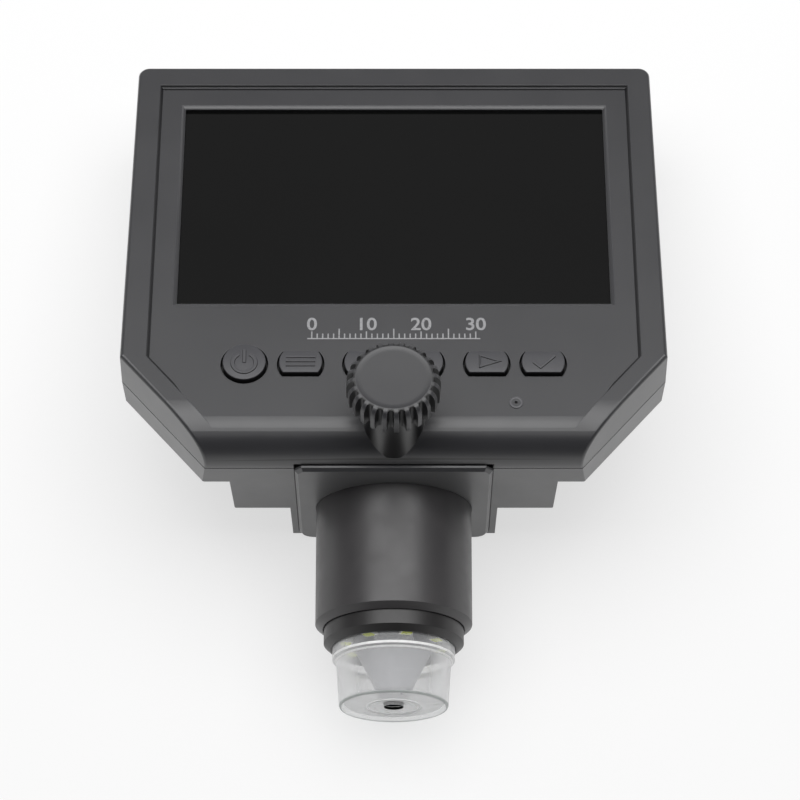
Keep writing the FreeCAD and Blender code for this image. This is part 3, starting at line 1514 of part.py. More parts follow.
def carriage():
    """The camera barrel that slides in the tube, with its lens, image sensor and board."""
    radius = S.tube_bore - S.barrel_clearance
    body = turned(
        "barrel_mass",
        [
            (S.barrel_bore, S.barrel_high), (S.barrel_bore, S.holder_high), (S.holder_radius, S.holder_high),
            (S.holder_radius, S.barrel_low), (radius - 0.6, S.barrel_low), (radius, S.barrel_low + 0.6),
            (radius, S.barrel_high),
        ],
    )
    slot_right = PITCH_RADIUS - S.rack_addendum + S.rack_width
    slot = block(
        "barrel_slot",
        (S.barrel_slot_left, S.barrel_slot_low, S.rack_floor), (slot_right, S.barrel_high + 1, FAR),
    )
    groove = block(
        "rib_groove",
        (-(S.rib_half + 0.1), S.barrel_low - 1, -FAR),
        (S.rib_half + 0.1, S.barrel_high + 1, -(S.tube_bore - S.rib_depth - 0.15)),
    )
    subpart(cut("camera_barrel_cut", body, [slot, groove]), "camera_barrel", TUBE)
    holder = turned(
        "holder_section",
        [
            (S.holder_bore, S.holder_high), (S.holder_bore, S.holder_low + S.lens_thick + 0.8),
            (S.lens_radius, S.holder_low + S.lens_thick + 0.8), (S.lens_radius, S.holder_low + 0.8),
            (S.lens_radius - 0.7, S.holder_low + 0.8), (S.lens_radius - 0.2, S.holder_low),
            (S.holder_radius - 0.4, S.holder_low), (S.holder_radius, S.holder_low + 0.4),
            (S.holder_radius, S.holder_high),
        ],
    )
    subpart(holder, "lens_holder", TUBE)
    bulge = as_size(9.0)
    lens_low = S.holder_low + 0.8
    lens_high = lens_low + S.lens_thick
    crown = bulge - root(bulge * bulge - (S.lens_radius - 0.8) * (S.lens_radius - 0.8))
    lens = turned(
        "lens_section",
        [
            (0, lens_low - 0.2), (S.lens_radius - 0.8, lens_low - 0.2 + crown),
            (S.lens_radius, lens_low + crown), (S.lens_radius, lens_high), (0, lens_high),
        ],
    )
    subpart(lens, "objective_lens", TUBE)
    board = block(
        "camera_plate",
        (-S.camera_board_half, S.barrel_high, S.camera_board_back),
        (S.camera_board_half, S.barrel_high + S.camera_board_thick, S.camera_board_front),
    )
    subpart(fuse("camera_plate_whole", [board]), "camera_board", TUBE)
    half = S.sensor_side / 2
    sensor = block(
        "sensor_block",
        (-half, S.barrel_high - S.sensor_thick, -half), (half, S.barrel_high, half),
    )
    subpart(fuse("sensor_whole", [sensor]), "image_sensor", TUBE)


def battery():
    """The cylindrical cell that lies across the back, and its two end contacts."""
    cell = doc.addObject("Part::Cylinder", "cell")
    cell.Placement.Rotation = FreeCAD.Rotation(FreeCAD.Vector(0, 1, 0), 90)
    bind(cell, "Radius", S.cell_radius)
    bind(cell, "Height", S.cell_length)
    bind(cell, ".Placement.Base.x", -S.cell_length / 2)
    bind(cell, ".Placement.Base.y", S.cell_high)
    bind(cell, ".Placement.Base.z", -CELL_DEPTH)
    subpart(fuse("cell_whole", [cell]), "battery_cell", DISPLAY)
    inside = TIER_HALF - S.wall - S.bay_end_wall
    side = S.contact_side / 2
    contacts = []
    for sign in (-1, 1):
        outer = inside * sign
        inner = (inside - S.contact_thick) * sign
        low, high = (outer, inner) if sign < 0 else (inner, outer)
        leaf = block(
            "contact_leaf_%d" % (sign + 1),
            (low, S.cell_high - side, -(CELL_DEPTH + side)),
            (high, S.cell_high + side, -(CELL_DEPTH - side)),
        )
        dimple = doc.addObject("Part::Cone", "contact_dimple_%d" % (sign + 1))
        dimple.Placement.Rotation = FreeCAD.Rotation(FreeCAD.Vector(0, 1, 0), -90 * sign)
        bind(dimple, "Radius1", S.contact_spring)
        bind(dimple, "Radius2", S.contact_spring / 2)
        bind(dimple, "Height", inside - S.cell_length / 2)
        for prop, value in zip("xyz", (outer, S.cell_high, -CELL_DEPTH)):
            bind(dimple, ".Placement.Base." + prop, value)
        contacts.append(fuse("contact_%d" % (sign + 1), [leaf, dimple]))
    subpart(group("contact_set", contacts), "battery_contacts", DISPLAY)


def top_edge_parts():
    """The charging socket, the card slot, and the brightness wheel on its potentiometer."""
    edge = S.board_tongue_high + 0.4
    usb = block(
        "usb_shell",
        (S.usb_across - S.usb_wide / 2, edge - S.usb_deep, BOARD_BACK - S.usb_high),
        (S.usb_across + S.usb_wide / 2, edge, BOARD_BACK),
    )
    usb_mouth = block(
        "usb_hollow",
        (S.usb_across - S.usb_wide / 2 + 0.4, edge - 4, BOARD_BACK - S.usb_high + 0.4),
        (S.usb_across + S.usb_wide / 2 - 0.4, edge + 1, BOARD_BACK - 0.4),
    )
    tongue = block(
        "usb_tongue",
        (S.usb_across - 2.2, edge - 4.5, BOARD_BACK - 1.5), (S.usb_across + 2.2, edge - 1, BOARD_BACK - 0.9),
    )
    hollow = cut("usb_space", usb_mouth, [tongue])
    subpart(cut("usb_port_cut", usb, [hollow]), "usb_port", DISPLAY)
    card = block(
        "card_shell",
        (S.card_across - S.card_wide / 2, edge - S.card_deep, BOARD_BACK - S.card_high),
        (S.card_across + S.card_wide / 2, edge, BOARD_BACK),
    )
    card_mouth = block(
        "card_hollow",
        (S.card_across - 5.6, edge - S.card_deep + 1, BOARD_BACK - S.card_high + 0.4),
        (S.card_across + 5.6, edge + 1, BOARD_BACK - 0.4),
    )
    subpart(cut("card_slot_cut", card, [card_mouth]), "card_slot", DISPLAY)
    half = S.pot_wide / 2
    base = block(
        "pot_base",
        (S.wheel_across - half, WHEEL_MID - half, POT_BACK),
        (S.wheel_across + half, WHEEL_MID + 2, BOARD_BACK),
    )
    axle = pillar("pot_axle", S.wheel_across, WHEEL_MID, S.wheel_axle, WHEEL_LOW - 0.3, BOARD_BACK)
    subpart(fuse("pot_whole", [base, axle]), "dimmer_pot", DISPLAY)
    body = new_body("wheel_mass")
    rim = draw_circle(new_sketch(body, "wheel_circle", "XY_Plane", WHEEL_LOW), 0, 0, S.wheel_radius)
    pad(body, rim, S.wheel_thick)
    notch = draw_circle(
        new_sketch(body, "notch_circle", "XY_Plane", WHEEL_LOW - 1), S.wheel_radius + 0.25, 0, as_size(0.5)
    )
    groove = body.newObject("PartDesign::Pocket", "notch")
    groove.Profile = notch
    groove.Reversed = True
    bind(groove, "Length", S.wheel_thick + 2)
    doc.recompute()
    pattern = body.newObject("PartDesign::PolarPattern", "notches")
    pattern.Originals = [groove]
    pattern.Axis = (notch, ["N_Axis"])
    pattern.Angle = 360
    bind(pattern, "Occurrences", S.wheel_notches)
    body.Tip = pattern
    bind(body, ".Placement.Base.x", S.wheel_across)
    bind(body, ".Placement.Base.y", WHEEL_MID)
    eye = pillar(
        "wheel_eye", S.wheel_across, WHEEL_MID, S.wheel_axle + S.bush_clearance, WHEEL_LOW - 1, POT_BACK + 1
    )
    subpart(cut("dimmer_wheel_cut", body, [eye]), "dimmer_wheel", DISPLAY)


def case_screws():
    """Four screws that close the two covers."""
    screws = []
    for index, (x, y, _) in enumerate(CASE_POSTS):
        seat = -(S.wide_depth - S.case_screw_sink)
        head = pillar(
            "case_screw_head_%d" % index, x, y, S.screw_head_radius, seat - S.screw_head_thick, seat
        )
        tip = seat + S.case_screw_length
        shank = pillar("case_screw_shank_%d" % index, x, y, S.screw_radius, seat - 0.5, tip)
        screws.append(fuse("case_screw_%d" % index, [head, shank]))
    subpart(group("case_screw_set", screws), "case_screws", DISPLAY)


def check_and_export():
    """Recompute, refuse anything failed or invalid, and write one file per sub-part."""
    doc.recompute()
    for thing in doc.Objects:
        if any(word in thing.State for word in ("Invalid", "Error")):
            raise RuntimeError("%s failed: %s" % (thing.Name, thing.State))
    os.makedirs("parts", exist_ok=True)
    for thing in SUBPARTS:
        shape = thing.Shape
        if shape.isNull() or not shape.isValid() or not shape.Solids:
            raise RuntimeError("%s has no valid solid" % thing.Label)
        shape.exportStep("parts/%s.step" % thing.Label)
        box = shape.BoundBox
        print(
            "%-18s solids %2d  volume %9.1f  X %6.1f %6.1f  Y %6.1f %6.1f  Z %6.1f %6.1f"
            % (
                thing.Label, len(shape.Solids), shape.Volume,
                box.XMin, box.XMax, box.YMin, box.YMax, box.ZMin, box.ZMax,
            )
        )


front_cover()
rear_cover()
battery_cover()
screen()
boards()
board_chips()
buttons()
microphone()
focus_drive()
pinion()
rack()
lens_tube()
mount_plate()
lamp_head()
clear_cap()
carriage()
battery()
top_edge_parts()
case_screws()
check_and_export()
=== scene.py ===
"""Looks of the handheld screen microscope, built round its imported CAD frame.

Each sub-assembly is a class that draws its own pieces in millimetres and dresses the CAD nodes that
it looks after. Two drawing frames are used: the display frame, square to the screen, and the tube
frame, which runs down the optical axis.
"""
import json
import logging
import math
from dataclasses import dataclass, field
from enum import Enum
from typing import Callable, Mapping, Sequence

import bmesh
import bpy
from mathutils import Matrix, Vector

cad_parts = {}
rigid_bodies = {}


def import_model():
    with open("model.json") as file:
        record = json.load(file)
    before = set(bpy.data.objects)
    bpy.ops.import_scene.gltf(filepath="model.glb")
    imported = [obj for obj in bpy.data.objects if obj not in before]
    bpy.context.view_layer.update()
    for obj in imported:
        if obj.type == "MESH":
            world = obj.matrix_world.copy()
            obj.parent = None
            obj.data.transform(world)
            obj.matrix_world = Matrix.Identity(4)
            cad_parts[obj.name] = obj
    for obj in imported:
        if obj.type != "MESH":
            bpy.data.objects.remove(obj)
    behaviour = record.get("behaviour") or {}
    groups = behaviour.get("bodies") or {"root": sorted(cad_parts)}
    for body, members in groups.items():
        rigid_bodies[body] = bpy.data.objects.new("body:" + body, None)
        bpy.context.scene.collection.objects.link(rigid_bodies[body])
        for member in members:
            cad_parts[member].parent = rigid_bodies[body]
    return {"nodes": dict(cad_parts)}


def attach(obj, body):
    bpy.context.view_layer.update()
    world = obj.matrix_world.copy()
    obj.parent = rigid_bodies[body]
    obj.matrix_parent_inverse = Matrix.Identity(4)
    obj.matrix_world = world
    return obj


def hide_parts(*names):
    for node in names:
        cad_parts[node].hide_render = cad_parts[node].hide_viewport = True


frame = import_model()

LOG = logging.getLogger("microscope")
MM = 0.001
IMAGE_SIDE_PX = 800
# A raised mark's steep flank and the fall of its crest, and how far its corners may be drawn out
RIDGE_FLANK_MM = 0.12
RIDGE_FALL_MM = 0.03
SHARPEST_MITRE = 0.35

Point2 = tuple[float, float]
Colour = tuple[float, float, float, float]


def linear(code: str) -> Colour:
    """Turns an sRGB hex colour into linear light.

    Args:
        code: The colour as "#RRGGBB".

    Returns:
        Red, green, blue and an alpha of 1, as a shader's socket takes them.
    """
    parts = [int(code[i : i + 2], 16) / 255 for i in (1, 3, 5)]
    light = [p / 12.92 if p <= 0.04045 else ((p + 0.055) / 1.055) ** 2.4 for p in parts]
    return (light[0], light[1], light[2], 1.0)


def per_metre(size_mm: float) -> float:
    """Gives the texture scale at which one pattern cell measures size_mm.

    Args:
        size_mm: The size of one cell of the pattern, in millimetres.

    Returns:
        The scale for a texture node that reads object coordinates in metres.
    """
    return 1.0 / (size_mm * MM)


def circle(radius: float, steps: int, centre: Point2 = (0.0, 0.0)) -> list[Point2]:
    """Gives the points of a circle, anticlockwise from the right.

    Args:
        radius: The circle's radius.
        steps: How many points it has.
        centre: Where its middle stands.

    Returns:
        The points, in order.
    """
    turns = [2 * math.pi * k / steps for k in range(steps)]
    return [(centre[0] + radius * math.cos(a), centre[1] + radius * math.sin(a)) for a in turns]


def add_node(
    tree: bpy.types.NodeTree,
    kind: str,
    settings: Mapping[str, object] | None = None,
    inputs: Mapping[str | int, object] | None = None,
) -> bpy.types.Node:
    """Adds one node with its settings and its inputs.

    Args:
        tree: The node tree that gets the node.
        kind: The node's type name, without the ShaderNode that starts it.
        settings: Properties of the node itself, by name.
        inputs: Values or output sockets for the node's inputs, by name or number.

    Returns:
        The new node.
    """
    node = tree.nodes.new("ShaderNode" + kind)
    for name, value in (settings or {}).items():
        setattr(node, name, value)
    for name, value in (inputs or {}).items():
        socket = node.inputs[name]
        if isinstance(value, bpy.types.NodeSocket):
            tree.links.new(value, socket)
        else:
            socket.default_value = value
    return node


def new_tree(name: str) -> tuple[bpy.types.Material, bpy.types.NodeTree, bpy.types.Node]:
    """Starts a material with nothing but its output.

    Args:
        name: The material's name.

    Returns:
        The material, its node tree and its output node.
    """
    material = bpy.data.materials.new(name)
    material.use_nodes = True
    tree = material.node_tree
    tree.nodes.clear()
    return material, tree, add_node(tree, "OutputMaterial")


class Finish:
    """A surface that can be built once and then shared by every piece that has it."""

    name: str

    def draw(self, tree: bpy.types.NodeTree, place: bpy.types.NodeSocket) -> bpy.types.Node:
        """Draws the finish's nodes.

        Args:
            tree: The material's node tree.
            place: The object coordinates, in metres.

        Returns:
            The node whose first output is the finished surface.
        """
        raise NotImplementedError

    def material(self) -> bpy.types.Material:
        """Gives the finish's material, and builds it when it is first asked for.

        Returns:
            The material, the same one each time.
        """
        found = bpy.data.materials.get(self.name)
        if found is None:
            found, tree, output = new_tree(self.name)
            surface = self.draw(tree, add_node(tree, "TexCoord").outputs["Object"])
            tree.links.new(surface.outputs[0], output.inputs["Surface"])
        return found


@dataclass(frozen=True)
class MouldedPlastic(Finish):
    """An opaque plastic as it leaves its mould, with the mould's own texture.

    Attributes:
        name: The material's name.
        colour: The body colour.
        mottle: The colour of the faint clouds left by the flow of the melt.
        edge_wear_and_highlight: The colour along edges: partly wear from handling, partly a painted
            highlight.
        roughness: The middle roughness.
        grain_mm: The width of one grain of the mould's texture.
        grain_depth_mm: How deep that grain is.
        cloud_mm: The width of one flow cloud.
        edge_mm: The radius of the softened edges.
        sheen_lift: How much the roughness wanders either way.
        haze: How pale the textured skin goes at a low angle.
        index: The plastic's index of refraction.
    """

    name: str
    colour: str
    mottle: str
    edge_wear_and_highlight: str
    roughness: float = 0.46
    grain_mm: float = 0.35
    grain_depth_mm: float = 0.006
    cloud_mm: float = 14.0
    edge_mm: float = 0.2
    sheen_lift: float = 0.035
    haze: float = 0.0
    index: float = 1.54

    def draw(self, tree: bpy.types.NodeTree, place: bpy.types.NodeSocket) -> bpy.types.Node:
        """Draws the plastic: flow clouds, mould grain, uneven gloss, and edges made paler by handling wear
        and a painted highlight.

        Args:
            tree: The material's node tree.
            place: The object coordinates, in metres.

        Returns:
            The node whose first output is the finished surface.
        """
        cloud = add_node(tree, "TexNoise", {}, {
            "Vector": place, "Scale": per_metre(self.cloud_mm), "Detail": 4.0, "Roughness": 0.62})
        grain = add_node(tree, "TexNoise", {}, {
            "Vector": place, "Scale": per_metre(self.grain_mm), "Detail": 2.0, "Roughness": 0.55})
        rounded = add_node(tree, "Bevel", {"samples": 6}, {"Radius": self.edge_mm * MM})
        facing = add_node(tree, "NewGeometry").outputs["Normal"]
        turn = add_node(tree, "VectorMath", {"operation": "DOT_PRODUCT"}, {
            0: rounded.outputs["Normal"], 1: facing})
        # Paler along the rounded edges: partly handling wear, partly a painted highlight.
        wear_and_highlight_mask = add_node(tree, "MapRange", {}, {
            "Value": turn.outputs["Value"], "From Min": 1.0, "From Max": 0.82,
            "To Min": 0.0, "To Max": 0.7})
        body = add_node(tree, "Mix", {"data_type": "RGBA"}, {
            0: cloud.outputs["Fac"], 6: linear(self.colour), 7: linear(self.mottle)})
        tone = add_node(tree, "Mix", {"data_type": "RGBA"}, {
            0: wear_and_highlight_mask.outputs["Result"], 6: body.outputs[2], 7: linear(self.edge_wear_and_highlight)})
        gloss = add_node(tree, "MapRange", {}, {
            "Value": cloud.outputs["Fac"], "From Min": 0.3, "From Max": 0.7,
            "To Min": self.roughness - self.sheen_lift, "To Max": self.roughness + self.sheen_lift})
        bump = add_node(tree, "Bump", {}, {
            "Strength": 1.0, "Distance": self.grain_depth_mm * MM,
            "Height": grain.outputs["Fac"], "Normal": rounded.outputs["Normal"]})
        return add_node(tree, "BsdfPrincipled", {}, {
            "Base Color": tone.outputs[2], "Roughness": gloss.outputs["Result"],
            "IOR": self.index, "Sheen Weight": self.haze, "Sheen Roughness": 0.45,
            "Normal": bump.outputs["Normal"]})


@dataclass(frozen=True)
class ClearAcrylic(Finish):
    """Clear cast or moulded acrylic, which lets the light of the lamps and the table through.

    Attributes:
        name: The material's name.
        tint: The faint colour of the clear stock.
        cloud: The colour of its haze.
        roughness: The polish of its faces.
        ripple_mm: The width of the slow ripples left by the mould.
        ripple_depth_mm: How deep those ripples are.
        veil: How much of its light is a pale haze on the surface, seen straight on.
        graze: How much of it is haze at a low angle, where the stock is seen edgewise.
    """

    name: str
    tint: str = "#FEFEFE"
    cloud: str = "#F8F8F9"
    roughness: float = 0.04
    ripple_mm: float = 5.0
    ripple_depth_mm: float = 0.002
    veil: float = 0.1
    graze: float = 0.0

    def draw(self, tree: bpy.types.NodeTree, place: bpy.types.NodeSocket) -> bpy.types.Node:
        """Draws a clear shell that casts a light shadow, with a slight haze and slow ripples.

        Args:
            tree: The material's node tree.
            place: The object coordinates, in metres.

        Returns:
            The node whose first output is the finished surface.
        """
        ripple = add_node(tree, "TexNoise", {}, {
            "Vector": place, "Scale": per_metre(self.ripple_mm), "Detail": 1.0})
        bump = add_node(tree, "Bump", {}, {
            "Strength": 1.0, "Distance": self.ripple_depth_mm * MM, "Height": ripple.outputs["Fac"]})
        shine = add_node(tree, "BsdfAnisotropic", {}, {
            "Color": (1.0, 1.0, 1.0, 1.0), "Roughness": self.roughness, "Normal": bump.outputs["Normal"]})
        stock = add_node(tree, "BsdfTransparent", {}, {"Color": linear(self.tint)})
        slant = add_node(tree, "LayerWeight", {}, {"Blend": 0.25, "Normal": bump.outputs["Normal"]})
        glance = add_node(tree, "MapRange", {}, {
            "Value": slant.outputs["Facing"], "To Min": 0.02, "To Max": 0.16})
        clear = add_node(tree, "MixShader", {}, {
            0: glance.outputs["Result"], 1: stock.outputs[0], 2: shine.outputs[0]})
        haze = add_node(tree, "BsdfPrincipled", {}, {
            "Base Color": linear(self.cloud), "Roughness": 0.5})
        dust = add_node(tree, "TexNoise", {}, {
            "Vector": place, "Scale": per_metre(2.6), "Detail": 6.0, "Roughness": 0.7})
        amount = add_node(tree, "MapRange", {}, {
            "Value": dust.outputs["Fac"], "From Min": 0.3, "From Max": 0.75,
            "To Min": self.veil * 0.85, "To Max": self.veil * 1.15})
        edgewise = add_node(tree, "LayerWeight", {}, {"Blend": 0.5})
        gathered = add_node(tree, "MapRange", {}, {
            "Value": edgewise.outputs["Facing"], "To Min": 0.0, "To Max": self.graze})
        share = add_node(tree, "Math", {"operation": "MAXIMUM"}, {
            0: amount.outputs["Result"], 1: gathered.outputs["Result"]})
        misted = add_node(tree, "MixShader", {}, {
            0: share.outputs[0], 1: clear.outputs[0], 2: haze.outputs[0]})
        path = add_node(tree, "LightPath")
        through = add_node(tree, "BsdfTransparent", {}, {"Color": linear("#FBFCFC")})
        soft = add_node(tree, "Math", {"operation": "MAXIMUM"}, {
            0: path.outputs["Is Shadow Ray"], 1: path.outputs["Is Diffuse Ray"]})
        return add_node(tree, "MixShader", {}, {
            0: soft.outputs[0], 1: misted.outputs[0], 2: through.outputs[0]})


@dataclass(frozen=True)
class CoverGlass(Finish):
    """Polished glass with a black display behind it, printed black up to its edge.

    Attributes:
        name: The material's name.
        depth: The colour of the dark display seen through the glass.
        glow: The colour of the faint lighter clouds in it.
        roughness: The polish.
    """

    name: str
    depth: str = "#060606"
    glow: str = "#0B0B0B"
    roughness: float = 0.09

    def draw(self, tree: bpy.types.NodeTree, place: bpy.types.NodeSocket) -> bpy.types.Node:
        """Draws a near-black gloss with faint clouds and a very fine wipe in its polish.

        Args:
            tree: The material's node tree.
            place: The object coordinates, in metres.

        Returns:
            The node whose first output is the finished surface.
        """
        cloud = add_node(tree, "TexNoise", {}, {
            "Vector": place, "Scale": per_metre(45.0), "Detail": 2.0})
        wipe = add_node(tree, "TexNoise", {}, {
            "Vector": place, "Scale": per_metre(9.0), "Detail": 5.0, "Roughness": 0.7})
        tone = add_node(tree, "Mix", {"data_type": "RGBA"}, {
            0: cloud.outputs["Fac"], 6: linear(self.depth), 7: linear(self.glow)})
        gloss = add_node(tree, "MapRange", {}, {
            "Value": wipe.outputs["Fac"], "To Min": self.roughness * 0.8, "To Max": self.roughness * 1.3})
        return add_node(tree, "BsdfPrincipled", {}, {
            "Base Color": tone.outputs[2], "Roughness": gloss.outputs["Result"], "IOR": 1.47})


@dataclass(frozen=True)
class BareMetal(Finish):
    """A plain or plated metal with the marks of how it was turned, stamped or drawn.

    Attributes:
        name: The material's name.
        colour: The metal's reflectance.
        dull: The reflectance where it has gone dull.
        roughness: The middle roughness.
        streak_mm: The width of one tool mark.
        streak_depth_mm: How deep the marks are.
    """

    name: str
    colour: str
    dull: str
    roughness: float = 0.3
    streak_mm: float = 0.25
    streak_depth_mm: float = 0.003

    def draw(self, tree: bpy.types.NodeTree, place: bpy.types.NodeSocket) -> bpy.types.Node:
        """Draws the metal with dull clouds and fine marks.

        Args:
            tree: The material's node tree.
            place: The object coordinates, in metres.

        Returns:
            The node whose first output is the finished surface.
        """
        cloud = add_node(tree, "TexNoise", {}, {
            "Vector": place, "Scale": per_metre(3.0), "Detail": 5.0})
        marks = add_node(tree, "TexNoise", {}, {
            "Vector": place, "Scale": per_metre(self.streak_mm), "Detail": 2.0})
        rounded = add_node(tree, "Bevel", {"samples": 4}, {"Radius": 0.1 * MM})
        tone = add_node(tree, "Mix", {"data_type": "RGBA"}, {
            0: cloud.outputs["Fac"], 6: linear(self.colour), 7: linear(self.dull)})
        gloss = add_node(tree, "MapRange", {}, {
            "Value": cloud.outputs["Fac"],
            "To Min": self.roughness - 0.08, "To Max": self.roughness + 0.12})
        bump = add_node(tree, "Bump", {}, {
            "Distance": self.streak_depth_mm * MM, "Height": marks.outputs["Fac"],
            "Normal": rounded.outputs["Normal"]})
        return add_node(tree, "BsdfPrincipled", {}, {
            "Base Color": tone.outputs[2], "Metallic": 1.0, "Roughness": gloss.outputs["Result"],
            "Normal": bump.outputs["Normal"]})


@dataclass(frozen=True)
class SolderMask(Finish):
    """A lacquered circuit board, with the copper tracks showing through as a paler pattern.

    Attributes:
        name: The material's name.
        lacquer: The lacquer over bare board.
        over_copper: The lacquer over copper.
        track_mm: The pitch of the tracks.
    """

    name: str
    lacquer: str
    over_copper: str
    track_mm: float = 1.3

    def draw(self, tree: bpy.types.NodeTree, place: bpy.types.NodeSocket) -> bpy.types.Node:
        """Draws the lacquer with right-angled tracks under it and a glossy, slightly uneven face.

        Args:
            tree: The material's node tree.
            place: The object coordinates, in metres.

        Returns:
            The node whose first output is the finished surface.
        """
        tracks = add_node(tree, "TexVoronoi", {"distance": "MANHATTAN", "feature": "F1"}, {
            "Vector": place, "Scale": per_metre(self.track_mm * 3)})
        lines = add_node(tree, "Math", {"operation": "PINGPONG"}, {
            0: tracks.outputs["Distance"], 1: 0.12})
        mask = add_node(tree, "MapRange", {}, {
            "Value": lines.outputs[0], "From Min": 0.055, "From Max": 0.065})
        tone = add_node(tree, "Mix", {"data_type": "RGBA"}, {
            0: mask.outputs["Result"], 6: linear(self.lacquer), 7: linear(self.over_copper)})
        bump = add_node(tree, "Bump", {}, {
            "Distance": 0.03 * MM, "Height": mask.outputs["Result"]})
        return add_node(tree, "BsdfPrincipled", {}, {
            "Base Color": tone.outputs[2], "Roughness": 0.32, "Normal": bump.outputs["Normal"]})


@dataclass(frozen=True)
class ScreenPrint(Finish):
    """Ink laid on through a screen, a little uneven where the texture below shows through.

    Attributes:
        name: The material's name.
        ink: The ink where it lies thick.
        thin: The ink where the texture shows through.
    """

    name: str
    ink: str
    thin: str

    def draw(self, tree: bpy.types.NodeTree, place: bpy.types.NodeSocket) -> bpy.types.Node:
        """Draws matt ink with fine pinholes of thinner ink.

        Args:
            tree: The material's node tree.
            place: The object coordinates, in metres.

        Returns:
            The node whose first output is the finished surface.
        """
        pins = add_node(tree, "TexNoise", {}, {
            "Vector": place, "Scale": per_metre(0.35), "Detail": 2.0})
        amount = add_node(tree, "MapRange", {}, {
            "Value": pins.outputs["Fac"], "From Min": 0.5, "From Max": 0.72})
        tone = add_node(tree, "Mix", {"data_type": "RGBA"}, {
            0: amount.outputs["Result"], 6: linear(self.ink), 7: linear(self.thin)})
        return add_node(tree, "BsdfPrincipled", {}, {
            "Base Color": tone.outputs[2], "Roughness": 0.6})


# Black ABS from a spark-textured mould: a soft, even gloss that goes pale grey at a low angle.
CASING = MouldedPlastic(
    "casing_abs_spark_textured", "#2E2E31", "#2A2A2D", "#55555A", roughness=0.35, haze=0.35, index=1.62)
# The border's inner slopes at the sides: darker than the casing, as painted shade.
SLOPE_SHADE = MouldedPlastic(
    "casing_abs_painted_shade_slope", "#19191B", "#1E1E20", "#3A3A3D", roughness=0.5, edge_mm=0.1)
# The same ABS from a finer cavity: the keys are a touch smoother than the panel round them.
KEYS = MouldedPlastic(
    "key_abs_fine_moulded", "#3C3C40", "#37373B", "#67676C", roughness=0.42, grain_mm=0.3,
    grain_depth_mm=0.004, edge_mm=0.12, haze=0.1, index=1.58)
# Side of the knob's boss and of the knob's hub: smoother than the panel, and darker as painted shade.
BOSS_SIDE = MouldedPlastic(
    "boss_abs_painted_shade", "#0F0F10", "#131314", "#2C2C2E", roughness=0.3, grain_mm=0.5,
    grain_depth_mm=0.003, edge_mm=0.15, index=1.6)
# Flanks of the keys and of their marks, walls of their holes and the window's lip: near black, as painted
# shade.
KEY_FLANK = MouldedPlastic(
    "key_abs_flank_painted_shade", "#101011", "#131314", "#1C1C1E", roughness=0.5, grain_mm=0.3,
    grain_depth_mm=0.002, edge_mm=0.05)
# Matt black of the cone's nose, bore and inside and of the wall of the cap's hole: painted shade, so that
# the lens hole looks black.
HOLE_SHADE = MouldedPlastic(
    "cone_inside_painted_shade", "#070707", "#090909", "#121212", roughness=0.75, grain_mm=0.3)
# Nylon with glass fibre, moulded satin: the knob is a shade darker and duller than the casing.
KNOB_NYLON = MouldedPlastic(
    "knob_nylon_satin_moulded", "#2C2C2F", "#28282B", "#77777C", roughness=0.4, grain_mm=0.28,
    edge_mm=0.16, haze=0.1, index=1.65)
# Hollows of the knob's flutes: darker than the knob, as painted shade.
FLUTE_SHADE = MouldedPlastic(
    "knob_nylon_flute_painted_shade", "#131314", "#18181A", "#2A2A2C", roughness=0.45, grain_mm=0.28,
    edge_mm=0.06)
# Turned-looking satin ABS of the tube, with faint rings and specks from its split mould.
TUBE_ABS = MouldedPlastic(
    "tube_abs_satin_moulded", "#343335", "#3A3839", "#585757", roughness=0.4, grain_mm=0.5,
    grain_depth_mm=0.008, cloud_mm=6.0, edge_mm=0.15, sheen_lift=0.06)
# The lamp ring comes from the same stock as the tube, polished less.
RING_ABS = MouldedPlastic(
    "ring_abs_satin_moulded", "#171617", "#1E1C1D", "#444343", roughness=0.42, grain_mm=0.45,
    grain_depth_mm=0.009, cloud_mm=5.0, edge_mm=0.12, sheen_lift=0.06)
# The pinhole's rim is rubbed paler than the panel by fingers and wiping.
PINHOLE_ABS = MouldedPlastic(
    "pinhole_abs_rubbed", "#58585B", "#4C4C4F", "#8A8A8E", roughness=0.4, grain_mm=0.25, edge_mm=0.08)
# Unpigmented acetal of gears and bushes: milky white and slippery.
ACETAL = MouldedPlastic(
    "acetal_natural_moulded", "#D9D6CB", "#CFCCC0", "#E6E4DC", roughness=0.34, grain_mm=0.4,
    edge_mm=0.08)
# The light cone is grey polycarbonate, matt so that it throws no glare at the specimen.
CONE_GREY = MouldedPlastic(
    "cone_polycarbonate_matt", "#A2A2A6", "#9A9A9F", "#B8B8BB", roughness=0.5, grain_mm=0.3,
    grain_depth_mm=0.003, cloud_mm=8.0, edge_mm=0.12)
# Black polyamide of the camera barrel, matt inside against stray light.
BARREL_BLACK = MouldedPlastic(
    "barrel_polyamide_matt", "#1B1B1C", "#202021", "#39393B", roughness=0.6, grain_mm=0.3)
# Epoxy moulding compound of the chips: dark grey and matt.
CHIP_EPOXY = MouldedPlastic(
    "chip_epoxy_moulded", "#232325", "#29292B", "#3D3D40", roughness=0.55, grain_mm=0.2, edge_mm=0.08)
# Phenolic base of the brightness control: brown and matt.
PHENOLIC = MouldedPlastic(
    "pot_phenolic_pressed", "#5A3F2A", "#4D3524", "#7A5A40", roughness=0.5, grain_mm=0.3, edge_mm=0.1)
# White backing film and tray of the display.
TRAY_WHITE = MouldedPlastic(
    "tray_polycarbonate_white", "#D8DADB", "#CDD0D1", "#E8E9E9", roughness=0.45, edge_mm=0.1)
# Heat-shrunk PVC sleeve of the cell, plain blue and glossy.
CELL_SLEEVE = MouldedPlastic(
    "cell_pvc_heat_shrunk", "#2E6E9E", "#2A6592", "#5590BA", roughness=0.28, grain_mm=1.2,
    grain_depth_mm=0.01, cloud_mm=9.0, edge_mm=0.2)
# Fired alumina of the lamp bodies and the sensor's package.
CERAMIC = MouldedPlastic(
    "alumina_fired", "#E4E3DC", "#D9D8D0", "#F0EFEA", roughness=0.4, grain_mm=0.2,
    grain_depth_mm=0.002, edge_mm=0.05)
